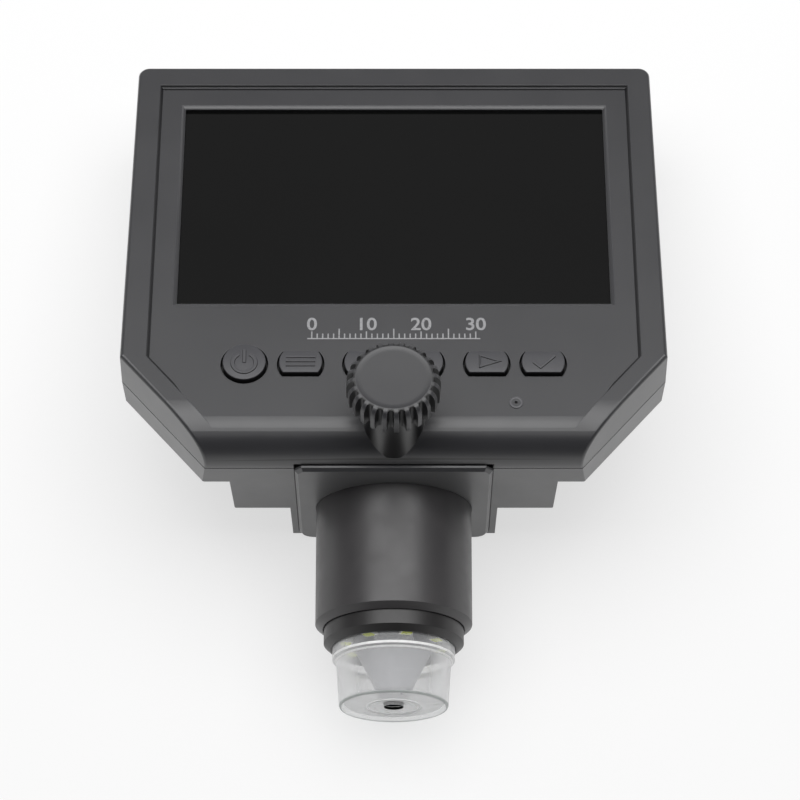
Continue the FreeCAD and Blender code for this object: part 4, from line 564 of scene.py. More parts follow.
# Phosphor in silicone over each lamp: an opaque yellow-green gel with a wet gloss.
PHOSPHOR = MouldedPlastic(
    "phosphor_silicone_cast", "#E2EA45", "#D3DD3C", "#ECF07C", roughness=0.25, grain_mm=0.2,
    grain_depth_mm=0.004, cloud_mm=1.5, edge_mm=0.05)
# Clear acrylic of the cap's wall, as it leaves the mould: thin and a touch milky.
CLEAR_CAP = ClearAcrylic("cap_acrylic_moulded", veil=0.2, graze=1.0)
# The cap's neck, polished where it slides into the ring: clear, so that the lamps show through it.
CAP_NECK = ClearAcrylic("cap_acrylic_polished_neck", veil=0.07, graze=0.6)
# The cap's end, moulded against a blasted face: milkier, so that little shows through it.
CAP_FACE = ClearAcrylic("cap_acrylic_blasted_end", veil=0.24)
# Rounded edges of the cap: a near-white haze, as painted highlight.
CAP_EDGE = ClearAcrylic("cap_acrylic_painted_highlight_edge", veil=0.95, cloud="#FFFFFF", roughness=0.1)
# The thin grey line round the rim of the cap's end, a shade darker than its faces: painted shade along that
# edge.
CAP_LINE = ClearAcrylic("cap_acrylic_painted_edge_shade", veil=0.8, cloud="#AEB4B2")
LENS_GLASS = ClearAcrylic("objective_crown_glass_polished", "#F4F8F8", veil=0.02, ripple_depth_mm=0.0005)
SCREEN = CoverGlass("cover_glass_printed_black")
# Nickel over steel: bright, with a warm cast, on screws, shaft, sockets and battery contacts.
NICKEL = BareMetal("steel_nickel_plated", "#C9C4BA", "#A9A59C", 0.28)
# Stamped tin plate of the key switches and the microphone's can.
TINPLATE = BareMetal("tinplate_stamped", "#C8C9CA", "#A7A8A9", 0.36, 0.4)
# Ground steel of the knob's shaft, with fine rings from the wheel.
GROUND_STEEL = BareMetal("steel_ground", "#BDBEC0", "#9FA0A2", 0.22, 0.12, 0.002)
GREEN_BOARD = SolderMask("board_green_lacquer", "#1E5A35", "#2C7446")
WHITE_BOARD = SolderMask("lamp_board_white_lacquer", "#D7DADA", "#E2E4E4", 0.9)
# Pale grey ink of the printed rule, laid on through a screen.
RULE_INK = ScreenPrint("rule_ink_screen_printed", "#98989A", "#7E7E80")


@dataclass(frozen=True)
class DrawingFrame:
    """A frame that a sub-assembly is drawn in, in millimetres.

    Attributes:
        lean_deg: Its turn about the X axis.
        origin_mm: Where its origin lies in the shared frame.
    """

    lean_deg: float
    origin_mm: tuple[float, float, float]

    def matrix(self) -> Matrix:
        """Gives the matrix that takes millimetres in this frame to metres in the shared frame."""
        scale = Matrix.Scale(MM, 4)
        turn = Matrix.Rotation(math.radians(self.lean_deg), 4, "X")
        return scale @ Matrix.Translation(self.origin_mm) @ turn


# Square to the screen: X right, Y up the screen, Z out of it, from the raised border's face
DISPLAY = DrawingFrame(-12.6, (0.0, -15.5506, 49.4656))
# Down the optical axis: Z runs from the housing's underside towards the lens end, Y to the front
TUBE = DrawingFrame(90.0, (0.0, -28.6138, 19.13))


@dataclass
class Shape:
    """Collects the points and faces of one piece, in millimetres of a drawing frame."""

    points: list[Vector] = field(default_factory=list)
    faces: list[tuple[int, ...]] = field(default_factory=list)
    parts: list[int] = field(default_factory=list)

    def ring(self, places: Sequence[Sequence[float]]) -> list[int]:
        """Adds points and gives their numbers.

        Args:
            places: The points' coordinates.

        Returns:
            The numbers of the new points, in the same order.
        """
        start = len(self.points)
        self.points.extend(Vector(p) for p in places)
        return list(range(start, start + len(places)))

    def face(self, corners: Sequence[int], part: int = 0) -> None:
        """Adds one face with a material number."""
        self.faces.append(tuple(corners))
        self.parts.append(part)

    def bridge(self, low: Sequence[int], high: Sequence[int], part: int = 0) -> None:
        """Joins two closed rows of points with quads.

        Args:
            low: The first row.
            high: The second row, with as many points.
            part: The material number of the new faces.
        """
        count = len(low)
        for i in range(count):
            j = (i + 1) % count
            self.face((low[i], low[j], high[j], high[i]), part)

    def stack(self, rows: Sequence[Sequence[Sequence[float]]], part: int | Sequence[int] = 0) -> None:
        """Joins several closed rows of points one above the other, and closes both ends.

        Args:
            rows: The rows, from the lowest to the highest, all with as many points.
            part: The material number of the new faces, or one number for each band.
        """
        rings = [self.ring(row) for row in rows]
        bands = [part] * (len(rings) - 1) if isinstance(part, int) else list(part)
        for low, high, band in zip(rings, rings[1:], bands):
            self.bridge(low, high, band)
        self.face(tuple(reversed(rings[0])), bands[0])
        self.face(tuple(rings[-1]), bands[-1])

    def box(self, low: Sequence[float], high: Sequence[float], soften: float, part: int = 0,
            turn: Callable[[Vector], Vector] | None = None) -> None:
        """Adds a block whose four upper edges are bevelled.

        Args:
            low: Its lowest corner.
            high: Its highest corner.
            soften: The width of the bevel.
            part: The material number.
            turn: Moves each point, or None to leave them.
        """
        rows = []
        for height, inset in ((low[2], 0.0), (high[2] - soften, 0.0), (high[2], soften)):
            rows.append([
                (low[0] + inset, low[1] + inset, height), (high[0] - inset, low[1] + inset, height),
                (high[0] - inset, high[1] - inset, height), (low[0] + inset, high[1] - inset, height)])
        if turn is not None:
            rows = [[turn(Vector(p)) for p in row] for row in rows]
        self.stack(rows, part)

    def lathe(self, profile: Sequence[Point2], steps: int, centre: Point2 = (0.0, 0.0),
              part: int | Sequence[int] = 0) -> None:
        """Turns a closed profile about the frame's Z axis.

        Args:
            profile: Radius and height of each point of the section, in order.
            steps: How many steps the turn has.
            centre: Where the axis stands.
            part: The material number, or one number for each band from its profile point to the next.
        """
        rings = [
            self.ring([(x, y, height) for x, y in circle(radius, steps, centre)])
            for radius, height in profile]
        bands = [part] * len(rings) if isinstance(part, int) else part
        for first, second, band in zip(rings, rings[1:] + rings[:1], bands):
            self.bridge(first, second, band)

    def ridge(self, path: Sequence[Point2], width: float, low: float, high: float,
              closed: bool = False) -> None:
        """Raises a rounded ridge along a path, like a moulded mark: crest in finish 0, flanks in finish 1.

        Args:
            path: The line that the ridge follows.
            width: Its width at the foot.
            low: The height of its foot.
            high: The height of its crest.
            closed: Whether the path closes on itself.
        """
        count = len(path)
        rows = []
        for i, (x, y) in enumerate(path):
            before = path[(i - 1) % count] if closed or i > 0 else None
            after = path[(i + 1) % count] if closed or i < count - 1 else None
            ways = []
            if before is not None:
                ways.append(Vector((x - before[0], y - before[1])).normalized())
            if after is not None:
                ways.append(Vector((after[0] - x, after[1] - y)).normalized())
            way = sum(ways, Vector((0.0, 0.0))).normalized()
            side = Vector((-way.y, way.x))
            reach = 1.0 / max(SHARPEST_MITRE, side.dot(Vector((-ways[0].y, ways[0].x))))
            flank, brow = RIDGE_FLANK_MM / width, high - RIDGE_FALL_MM
            section = ((-0.5, low), (flank - 0.5, brow), (0.0, high), (0.5 - flank, brow), (0.5, low))
            rows.append([
                (x + side.x * across * width * reach, y + side.y * across * width * reach, height)
                for across, height in section])
        rings = [self.ring(row) for row in rows]
        pairs = list(zip(rings, rings[1:])) + ([(rings[-1], rings[0])] if closed else [])
        for first, second in pairs:
            for k, part in enumerate((1, 0, 0, 1)):
                self.face((first[k], first[k + 1], second[k + 1], second[k]), part)
        if not closed:
            self.face(tuple(rings[0]), 1)
            self.face(tuple(reversed(rings[-1])), 1)

    def piece(self, name: str, drawn_in: DrawingFrame, finishes: Sequence[Finish],
              sharp_deg: float = 32.0) -> bpy.types.Object:
        """Makes the piece as an object in the shared frame.

        Args:
            name: The piece's name.
            drawn_in: The frame that its points are drawn in.
            finishes: Its finishes, by material number.
            sharp_deg: Edges that turn by more than this stay sharp.

        Returns:
            The new object, linked to the scene, with nothing that it rides on yet.
        """
        mesh = bpy.data.meshes.new(name)
        mesh.from_pydata([tuple(p) for p in self.points], [], self.faces)
        mesh.transform(drawn_in.matrix())
        for finish in finishes:
            mesh.materials.append(finish.material())
        mesh.polygons.foreach_set("material_index", self.parts)
        mesh.validate()
        mesh.update()
        make_outward(mesh)
        mesh.shade_smooth()
        mesh.set_sharp_from_angle(angle=math.radians(sharp_deg))
        made = bpy.data.objects.new(name, mesh)
        bpy.context.scene.collection.objects.link(made)
        return made


def make_outward(mesh: bpy.types.Mesh) -> None:
    """Turns every face of a mesh so that it looks outwards.

    Args:
        mesh: The mesh, which may have several closed shells.
    """
    work = bmesh.new()
    work.from_mesh(mesh)
    bmesh.ops.recalc_face_normals(work, faces=work.faces)
    work.to_mesh(mesh)
    work.free()


def dress(nodes: Sequence[str], finish: Finish) -> None:
    """Gives CAD nodes a finish in place of their plain colour.

    Args:
        nodes: The nodes' names.
        finish: The finish that they get.
    """
    for name in nodes:
        mesh = frame["nodes"][name].data
        mesh.materials.clear()
        mesh.materials.append(finish.material())
    LOG.info("dressed %s in %s", ", ".join(nodes), finish.name)


def tone_faces(node: str, finish: Finish, drawn_in: DrawingFrame,
                inside: Callable[[Vector, Vector], bool]) -> None:
    """Gives some faces of a dressed CAD node a finish of their own, such as the walls of its holes.

    Only the faces' finish changes; the node keeps its shape.

    Args:
        node: The node's name.
        finish: The finish of those faces.
        drawn_in: The frame that the test reads.
        inside: Takes a face's middle in millimetres and the way it looks, and tells if it belongs.
    """
    holder = frame["nodes"][node]
    mesh = holder.data
    mesh.materials.append(finish.material())
    number = len(mesh.materials) - 1
    to_mm = drawn_in.matrix().inverted() @ holder.matrix_world
    turn = to_mm.to_3x3()
    for polygon in mesh.polygons:
        if inside(to_mm @ polygon.center, (turn @ polygon.normal).normalized()):
            polygon.material_index = number


def settle(piece: bpy.types.Object, body: str, slot: str, *stands_for: str) -> None:
    """Makes a finished piece ride on its body and hides the CAD nodes that it replaces.

    Args:
        piece: The new piece.
        body: The CAD body that it moves with.
        slot: The record's material slot; not used.
        *stands_for: The CAD nodes that it replaces.
    """
    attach(piece, body)
    if stands_for:
        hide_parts(*stands_for)
    LOG.info("built %s on %s with %d faces", piece.name, body, len(piece.data.polygons))


def rounded_corner(radius_out: float, height_out: float, round_mm: float, steps: int = 4) -> list[Point2]:
    """Gives the section of an upper outer edge rounded off to a quarter circle.

    Args:
        radius_out: The radius of the side below the edge.
        height_out: The height of the face above it.
        round_mm: The radius of the rounding.
        steps: How many steps the quarter circle has.

    Returns:
        Radius and height of each point, from the side up to the top.
    """
    found = []
    for k in range(steps + 1):
        angle = math.pi / 2 * k / steps
        found.append((
            radius_out - round_mm * (1 - math.cos(angle)), height_out - round_mm * (1 - math.sin(angle))))
    return found


class Mark(Enum):
    """The plain signs that are raised on the keys."""

    POWER = "power"
    LIST = "list"
    MINUS = "minus"
    PLUS = "plus"
    PLAY = "play"
    TICK = "tick"


# The power sign's open ring, in millimetres from the key's middle
POWER_RING: list[Point2] = [
    (2.5 * math.sin(a), 2.5 * math.cos(a) - 0.35)
    for a in (math.radians(30 + 300 * k / 40) for k in range(41))]
# The strokes of each sign: the path from the key's middle, its width, and whether it closes
STROKES: dict[Mark, list[tuple[list[Point2], float, bool]]] = {
    Mark.POWER: [(POWER_RING, 1.0, False), ([(0.0, -0.3), (0.0, 3.0)], 0.9, False)],
    Mark.LIST: [([(-3.2, 0.1 + drop), (3.2, 0.1 + drop)], 0.7, False) for drop in (-1.1, 0.0, 1.1)],
    Mark.MINUS: [([(-1.8, 0.0), (1.8, 0.0)], 0.8, False)],
    Mark.PLUS: [([(-1.8, 0.0), (1.8, 0.0)], 0.8, False), ([(0.0, -1.8), (0.0, 1.8)], 0.8, False)],
    Mark.PLAY: [([(-1.5, -1.5), (2.7, 0.0), (-1.5, 1.5)], 0.5, True)],
    Mark.TICK: [([(-2.1, -0.1), (-0.6, -1.5), (2.5, 1.5)], 0.9, False)],
}


@dataclass(frozen=True)
class Key:
    """One push key: its CAD node, its place across the panel, its outline and its mark."""

    node: str
    across: float
    is_round: bool
    mark: Mark


@dataclass
class KeyRow:
    """The row of six keys under the screen."""

    row_high: float = 10.04
    radius: float = 4.7
    flat: float = 2.8
    rim: float = 0.9
    rim_low: float = -3.7
    rim_top: float = -2.9
    top: float = 0.2
    edge: float = 0.22
    hole_reach: float = 5.6
    mark_high: float = 0.25
    mark_sunk: float = 0.05
    round_points: int = 72
    side_steps: int = 22
    keys: tuple[Key, ...] = (
        Key("power_button", -32.6, True, Mark.POWER),
        Key("menu_button", -20.3, False, Mark.LIST),
        Key("zoom_out_button", -6.07, False, Mark.MINUS),
        Key("zoom_in_button", 6.07, False, Mark.PLUS),
        Key("play_button", 20.3, False, Mark.PLAY),
        Key("confirm_button", 32.6, False, Mark.TICK),
    )

    def outline(self, key: Key, grow: float) -> list[Point2]:
        """Gives a key's outline: a full circle, or one cut off flat above and below.

        Args:
            key: The key.
            grow: How far the outline is drawn out from its edge.

        Returns:
            The outline's points, anticlockwise.
        """
        radius = self.radius + grow
        if key.is_round:
            return circle(radius, self.round_points, (key.across, self.row_high))
        flat = self.flat + grow
        half = math.asin(flat / radius)
        sweep = [-half + 2 * half * k / self.side_steps for k in range(self.side_steps + 1)]
        right = [(radius * math.cos(a), radius * math.sin(a)) for a in sweep]
        left = [(-x, -y) for x, y in right]
        return [(key.across + x, self.row_high + y) for x, y in right + left]

    def raise_mark(self, shape: Shape, key: Key) -> None:
        """Raises a key's sign on its top face.

        Args:
            shape: The key's shape.
            key: The key.
        """
        for path, width, closed in STROKES[key.mark]:
            moved = [(key.across + x, self.row_high + y) for x, y in path]
            shape.ridge(moved, width, self.top - self.mark_sunk, self.top + self.mark_high, closed)

    def in_hole(self, place: Vector, way: Vector) -> bool:
        """Tells whether a face of the front cover is a wall of one of the key holes.

        Args:
            place: The face's middle.
            way: The way that it looks.

        Returns:
            True for a wall of a key hole.
        """
        near = any((place.x - key.across) ** 2 + (place.y - self.row_high) ** 2 < self.hole_reach**2
                   for key in self.keys)
        return near and abs(way.z) < 0.5 and place.z < -0.8

    def build(self) -> None:
        """Builds each key with its rim, its rounded top edge and its mark, and paints shade on the walls of
        its hole.
        """
        # The walls of the key holes take painted shade.
        tone_faces("front_cover", KEY_FLANK, DISPLAY, self.in_hole)
        for key in self.keys:
            shape = Shape()
            levels = [(self.rim_low, self.rim), (self.rim_top, self.rim), (self.rim_top, 0.0)]
            levels += [(height, radius) for radius, height in rounded_corner(0.0, self.top, self.edge)]
            # The rim and the flank take painted shade; the rounded top keeps the key's finish.
            bands = [1, 1, 1] + [0] * (len(levels) - 4)
            rows = [[(x, y, height) for x, y in self.outline(key, grow)] for height, grow in levels]
            shape.stack(rows, bands)
            self.raise_mark(shape, key)
            piece = shape.piece(key.node + "_cap", DISPLAY, [KEYS, KEY_FLANK], sharp_deg=28.0)
            settle(piece, key.node, "button_plastic", key.node)


@dataclass
class FocusKnob:
    """The fluted focus knob and what shows of its drive."""

    high: float = -4.12
    low: float = 7.28
    foot: float = 8.3
    top: float = 14.65
    radius: float = 10.1
    face_radius: float = 8.2
    shoulder: float = 12.0
    hub_radius: float = 6.3
    flutes: int = 24
    flute_radius: float = 0.72
    flute_centre: float = 9.2
    hollow_depth: float = 0.35
    turned_deg: float = 3.6
    steps_per_flute: int = 16
    soften: float = 0.05
    shaft_radius: float = 1.5
    bore_depth: float = 2.0

    @property
    def count(self) -> int:
        """Gives how many points each ring of the knob has."""
        return self.flutes * self.steps_per_flute

    def place(self, index: int, radius: float, height: float) -> tuple[float, float, float]:
        """Gives the point that stands index steps round the knob's axis."""
        angle = 2 * math.pi * index / self.count
        return (radius * math.sin(angle), self.high - radius * math.cos(angle), height)

    def reach(self, angle: float) -> float:
        """Gives the fluted side's radius at an angle.

        Args:
            angle: The angle round the knob.

        Returns:
            The radius, with the ridges between the flutes softened.
        """
        pitch = 2 * math.pi / self.flutes
        off = (angle + math.radians(self.turned_deg) + pitch / 2) % pitch - pitch / 2
        sideways = self.flute_centre * math.sin(off)
        if abs(sideways) >= self.flute_radius:
            hollow = self.radius + 0.4
        else:
            hollow = self.flute_centre * math.cos(off) - math.sqrt(self.flute_radius**2 - sideways**2)
        k = self.soften
        return -k * math.log(math.exp(-self.radius / k) + math.exp(-hollow / k))

    def profile(self) -> list[Point2]:
        """Gives the knob's outer section, from its hub over its rounded shoulder to its recessed face.

        Returns:
            The largest radius and the height of each ring.
        """
        drop = 0.05
        across, down = self.radius - self.face_radius, self.top - self.shoulder
        bevel = [
            (self.face_radius + across * math.cos(a), self.shoulder + down * math.sin(a))
            for a in (math.radians(10 * k) for k in range(1, 9))]
        return [
            (self.hub_radius, self.low), (self.hub_radius, self.foot - 0.05),
            (self.radius - 0.45, self.foot), (self.radius - 0.12, self.foot + 0.1),
            (self.radius + 0.1, self.foot + 0.4), (self.radius + 0.1, self.foot + 1.8),
            (self.radius + 0.1, self.shoulder - 0.35),
            (self.radius, self.shoulder - 0.05), *bevel,
            (self.face_radius, self.top - 0.03), (self.face_radius - 0.1, self.top),
            (self.face_radius - 0.2, self.top - 0.01), (self.face_radius - 0.3, self.top - drop),
            (self.face_radius - 1.4, self.top - drop - 0.02), (3.0, self.top - drop - 0.05)]

    def build(self) -> None:
        """Builds the knob and dresses its shaft, bush, clip and gears."""
        shape = Shape()
        count = self.count
        reaches = [self.reach(2 * math.pi * k / count) for k in range(count)]
        rings = [
            shape.ring([self.place(k, min(reach, limit), height) for k, reach in enumerate(reaches)])
            for limit, height in self.profile()]
        # The hub takes the boss's painted shade.
        shape.bridge(rings[0], rings[1], 2)
        shape.bridge(rings[1], rings[2], 1)
        # Faces in the flute hollows, outside the top face, take painted shade.
        for first, second in zip(rings[2:], rings[3:]):
            for k in range(count):
                after = (k + 1) % count
                in_flute = self.reach(2 * math.pi * (k + 0.5) / count) < self.radius - self.hollow_depth
                outside = max((shape.points[i].xy - Vector((0.0, self.high))).length
                              for i in (first[k], second[k])) > self.face_radius + 0.05
                shape.face((first[k], first[after], second[after], second[k]), int(in_flute and outside))
        middle = shape.ring([(0.0, self.high, self.top - 0.14)])[0]
        for k in range(count):
            shape.face((rings[-1][k], rings[-1][(k + 1) % count], middle))
        under, bore_end = (
            shape.ring([self.place(k, self.shaft_radius, height) for k in range(count)])
            for height in (self.low, self.top - self.bore_depth))
        shape.bridge(under, rings[0])
        shape.bridge(bore_end, under)
        shape.face(tuple(reversed(bore_end)))
        finishes = [KNOB_NYLON, FLUTE_SHADE, BOSS_SIDE]
        piece = shape.piece("fluted_focus_knob", DISPLAY, finishes, sharp_deg=40.0)
        settle(piece, "focus_knob", "knob_plastic", "focus_knob")
        dress(["knob_shaft"], GROUND_STEEL)
        dress(["retaining_clip"], NICKEL)
        dress(["shaft_bush", "focus_pinion", "focus_rack"], ACETAL)


@dataclass
class PrintedRule:
    """The plain numbered scale printed between the screen and the keys."""

    half: float = 19.0
    foot: float = 17.0
    panel: float = -0.8
    thick: float = 0.03
    short: float = 1.2
    middle: float = 1.8
    tall: float = 2.5
    line: float = 0.3
    digit_mm: float = 3.4
    em_per_digit: float = 1.37
    bolden: float = 0.07
    digit_lift: float = 2.2
    pitch: float = 1.2
    end_tick: int = 15

    def bar(self, shape: Shape, left: float, right: float, low: float, high: float) -> None:
        """Adds one thin printed bar to the rule."""
        shape.box((left, low, self.panel - 0.02), (right, high, self.panel + self.thick), 0.01)

    def digits(self, shape: Shape, text: str, across: float, low: float) -> None:
        """Adds a plain number to the rule.

        Args:
            shape: The rule's shape.
            text: The number.
            across: The middle of the number across the panel.
            low: The foot of its digits.
        """
        curve = bpy.data.curves.new("rule_number", "FONT")
        curve.body = text
        curve.size = self.digit_mm * self.em_per_digit
        curve.align_x = "CENTER"
        curve.offset = self.bolden
        curve.extrude = self.thick / 2
        holder = bpy.data.objects.new("rule_number", curve)
        bpy.context.scene.collection.objects.link(holder)
        bpy.context.view_layer.update()
        mesh = bpy.data.meshes.new_from_object(holder)
        start = len(shape.points)
        middle = self.panel + self.thick / 2
        shape.points.extend(
            Vector((across + v.co.x, low + v.co.y, middle + v.co.z)) for v in mesh.vertices)
        for polygon in mesh.polygons:
            shape.face([start + i for i in polygon.vertices])
        bpy.data.objects.remove(holder)
        bpy.data.meshes.remove(mesh)
        bpy.data.curves.remove(curve)

    def build(self) -> None:
        """Builds the scale: a base line, 31 evenly spaced ticks, and a number for each ten."""
        shape = Shape()
        self.bar(shape, -self.half, self.half, self.foot - self.line, self.foot)
        for step in range(-self.end_tick, self.end_tick + 1):
            height = self.tall if step % 10 == 0 else self.middle if step % 5 == 0 else self.short
            across = step * self.pitch
            self.bar(shape, across - self.line / 2, across + self.line / 2, self.foot, self.foot + height)
        for step, text in ((-15, "0"), (-5, "10"), (5, "20"), (15, "30")):
            self.digits(shape, text, step * self.pitch, self.foot + self.digit_lift)
        settle(shape.piece("printed_rule", DISPLAY, [RULE_INK]), "housing", "housing_plastic")


@dataclass
class Casing:
    """The two covers, the battery cover, the mount plate and the screws that hold them."""

    pinhole: Point2 = (26.5, -0.2)
    pinhole_radius: float = 0.35
    disc_radius: float = 1.52
    panel: float = -0.8
    disc_high: float = 0.27
    boss_high: float = -4.12
    boss_reach: float = 7.4

    def on_boss(self, place: Vector, way: Vector) -> bool:
        """Tells whether a face of the front cover belongs to the side of the knob's boss.

        Args:
            place: The face's middle.
            way: The way that it looks.

        Returns:
            True for a face of the boss's side.
        """
        out = Vector((place.x, place.y - self.boss_high))
        if out.length > self.boss_reach or out.length < 0.1 or abs(way.z) > 0.5:
            return False
        return out.normalized().dot(way.xy.normalized()) > 0.8

    def build(self) -> None:
        """Dresses the covers, and builds the pale rim round the microphone's pinhole."""
        dress(["front_cover", "rear_cover", "battery_cover", "mount_plate"], CASING)
        dress(["plate_screws", "case_screws", "board_screws"], NICKEL)
        # The side of the knob's boss takes painted shade.
        tone_faces("front_cover", BOSS_SIDE, DISPLAY, self.on_boss)
        shape = Shape()
        top = self.panel + self.disc_high
        shape.lathe(
            [(self.pinhole_radius, top - 0.3), (self.disc_radius, top - 0.3), (self.disc_radius, top - 0.1),
             (self.disc_radius - 0.12, top), (self.disc_radius - 0.3, top + 0.03),
             (self.disc_radius - 0.5, top - 0.02), (self.disc_radius - 0.62, top - 0.12),
             (self.pinhole_radius + 0.16, top - 0.13), (self.pinhole_radius, top - 0.2)],
            48, self.pinhole)
        settle(shape.piece("pinhole_rim", DISPLAY, [PINHOLE_ABS]), "housing", "housing_plastic")


@dataclass
class PanelEdges:
    """The soft slopes of the front panel: inside the raised border, and round the window."""

    half: float = 54.1
    top: float = 88.2
    corner: float = 11.6
    slope: float = 0.832
    fade_start: float = 5.0
    fade_end: float = 0.2
    step: float = 0.8
    spread: float = 0.85
    window_half: float = 48.0
    window_low: float = 26.65
    window_high: float = 81.95
    window_spread: float = 0.9
    lip: float = 0.5

    def stations(self) -> list[tuple[Point2, Point2, bool]]:
        """Gives the corners of the border's inner edge, from the lower right end round to the left.

        Returns:
            For each corner its place, how it moves per millimetre of inset, and whether it ends the
            top's section.
        """
        slant = math.sqrt(1 + self.slope**2)
        right = []
        for low, share in ((self.fade_end, 0.04), (self.fade_start, 1.0)):
            across = self.half - self.slope * (self.corner - low)
            right.append(((across, low), (-slant * share, 0.0), False))
        right.append(((self.half, self.corner), (-1.0, (slant - 1) / self.slope), False))
        right += [((self.half, self.top), (-1.0, -1.0), on_top) for on_top in (False, True)]
        return right + [((-x, y), (-dx, dy), on_top) for (x, y), (dx, dy), on_top in reversed(right)]

    def build_border(self) -> None:
        """Fills the border's inner foot: a rounded slope at the sides, and a low bead along the top."""
        shape = Shape()
        foot = [(self.spread, -self.step - 0.02), (0.0, -self.step - 0.02)]
        side = [(0.0, -0.05)] + [
            (self.spread * (0.05 + 0.95 * k / 7),
             -self.step * (0.5 - 0.5 * math.cos(math.pi * k / 7)) - 0.06)
            for k in range(7)]
        bead = [(0.0, -0.7), (0.14, -0.68), (0.24, -0.5), (0.36, -0.4), (0.54, -0.38), (0.66, -0.46),
                (0.74, -0.64), (self.spread - 0.01, -self.step + 0.01)]
        rings = []
        stations = self.stations()
        for (x, y), (dx, dy), on_top in stations:
            section = (bead if on_top else side) + foot
            rings.append(shape.ring([
                (x + dx * inset, y + dy * inset, height) for inset, height in section]))
        # The side slopes take painted shade; the top bead keeps the casing's finish.
        for index, (first, second) in enumerate(zip(rings, rings[1:])):
            shape.bridge(first, second, 0 if stations[index][2] and stations[index + 1][2] else 1)
        shape.face(rings[0], 1)
        shape.face(rings[-1][::-1], 1)
        piece = shape.piece("border_inner_slope", DISPLAY, [CASING, SLOPE_SHADE], sharp_deg=50.0)
        settle(piece, "housing", "housing_plastic")

    def build_window(self) -> None:
        """Lays the window's shallow slope over its steep seat, with a short upright lip at the glass."""
        shape = Shape()
        section = [
            (self.window_spread, -self.step - 0.02), (self.window_spread - 0.15, -self.step - 0.03),
            (0.12, -self.step - self.lip + 0.05), (0.0, -self.step - self.lip - 0.05), (0.0, -2.1),
            (0.1, -2.1), (self.window_spread, -self.step - 0.1)]
        rows = []
        for spread, height in section:
            half, low, high = self.window_half + spread, self.window_low - spread, self.window_high + spread
            rows.append(shape.ring([
                (half, low, height), (half, high, height), (-half, high, height), (-half, low, height)]))
        # The upright lip at the glass takes painted shade.
        for index, (first, second) in enumerate(zip(rows, rows[1:] + rows[:1])):
            shape.bridge(first, second, 1 if index == 3 else 0)
        piece = shape.piece("window_slope", DISPLAY, [CASING, KEY_FLANK], sharp_deg=30.0)
        settle(piece, "housing", "housing_plastic")

    def build(self) -> None:
        """Builds both slopes."""
        self.build_border()
        self.build_window()


@dataclass
class Display:
    """The screen: its cover glass and the tray behind it."""

    def build(self) -> None:
        """Dresses the glass and its tray."""
        dress(["lcd_glass"], SCREEN)
        dress(["lcd_backlight"], TRAY_WHITE)


@dataclass
class Electronics:
    """What the casing holds: boards, chips, switches, cell, sockets and the brightness control."""

    def build(self) -> None:
        """Dresses the inner nodes."""
        dress(["main_board", "key_board", "camera_board"], GREEN_BOARD)
        dress(["board_chips"], CHIP_EPOXY)
        dress(["tact_switches", "microphone"], TINPLATE)
        dress(["usb_port", "card_slot", "battery_contacts"], NICKEL)
        dress(["battery_cell"], CELL_SLEEVE)
        dress(["dimmer_pot"], PHENOLIC)
        dress(["dimmer_wheel"], KNOB_NYLON)


@dataclass
class LensTube:
    """The outer tube with its lamp ring, and the camera that slides inside it."""

    def build(self) -> None:
        """Dresses the tube, the ring and the camera carriage."""
        dress(["lens_tube"], TUBE_ABS)
        dress(["lamp_head_ring"], RING_ABS)
        dress(["camera_barrel", "lens_holder"], BARREL_BLACK)
        dress(["objective_lens"], LENS_GLASS)
        dress(["image_sensor"], CERAMIC)


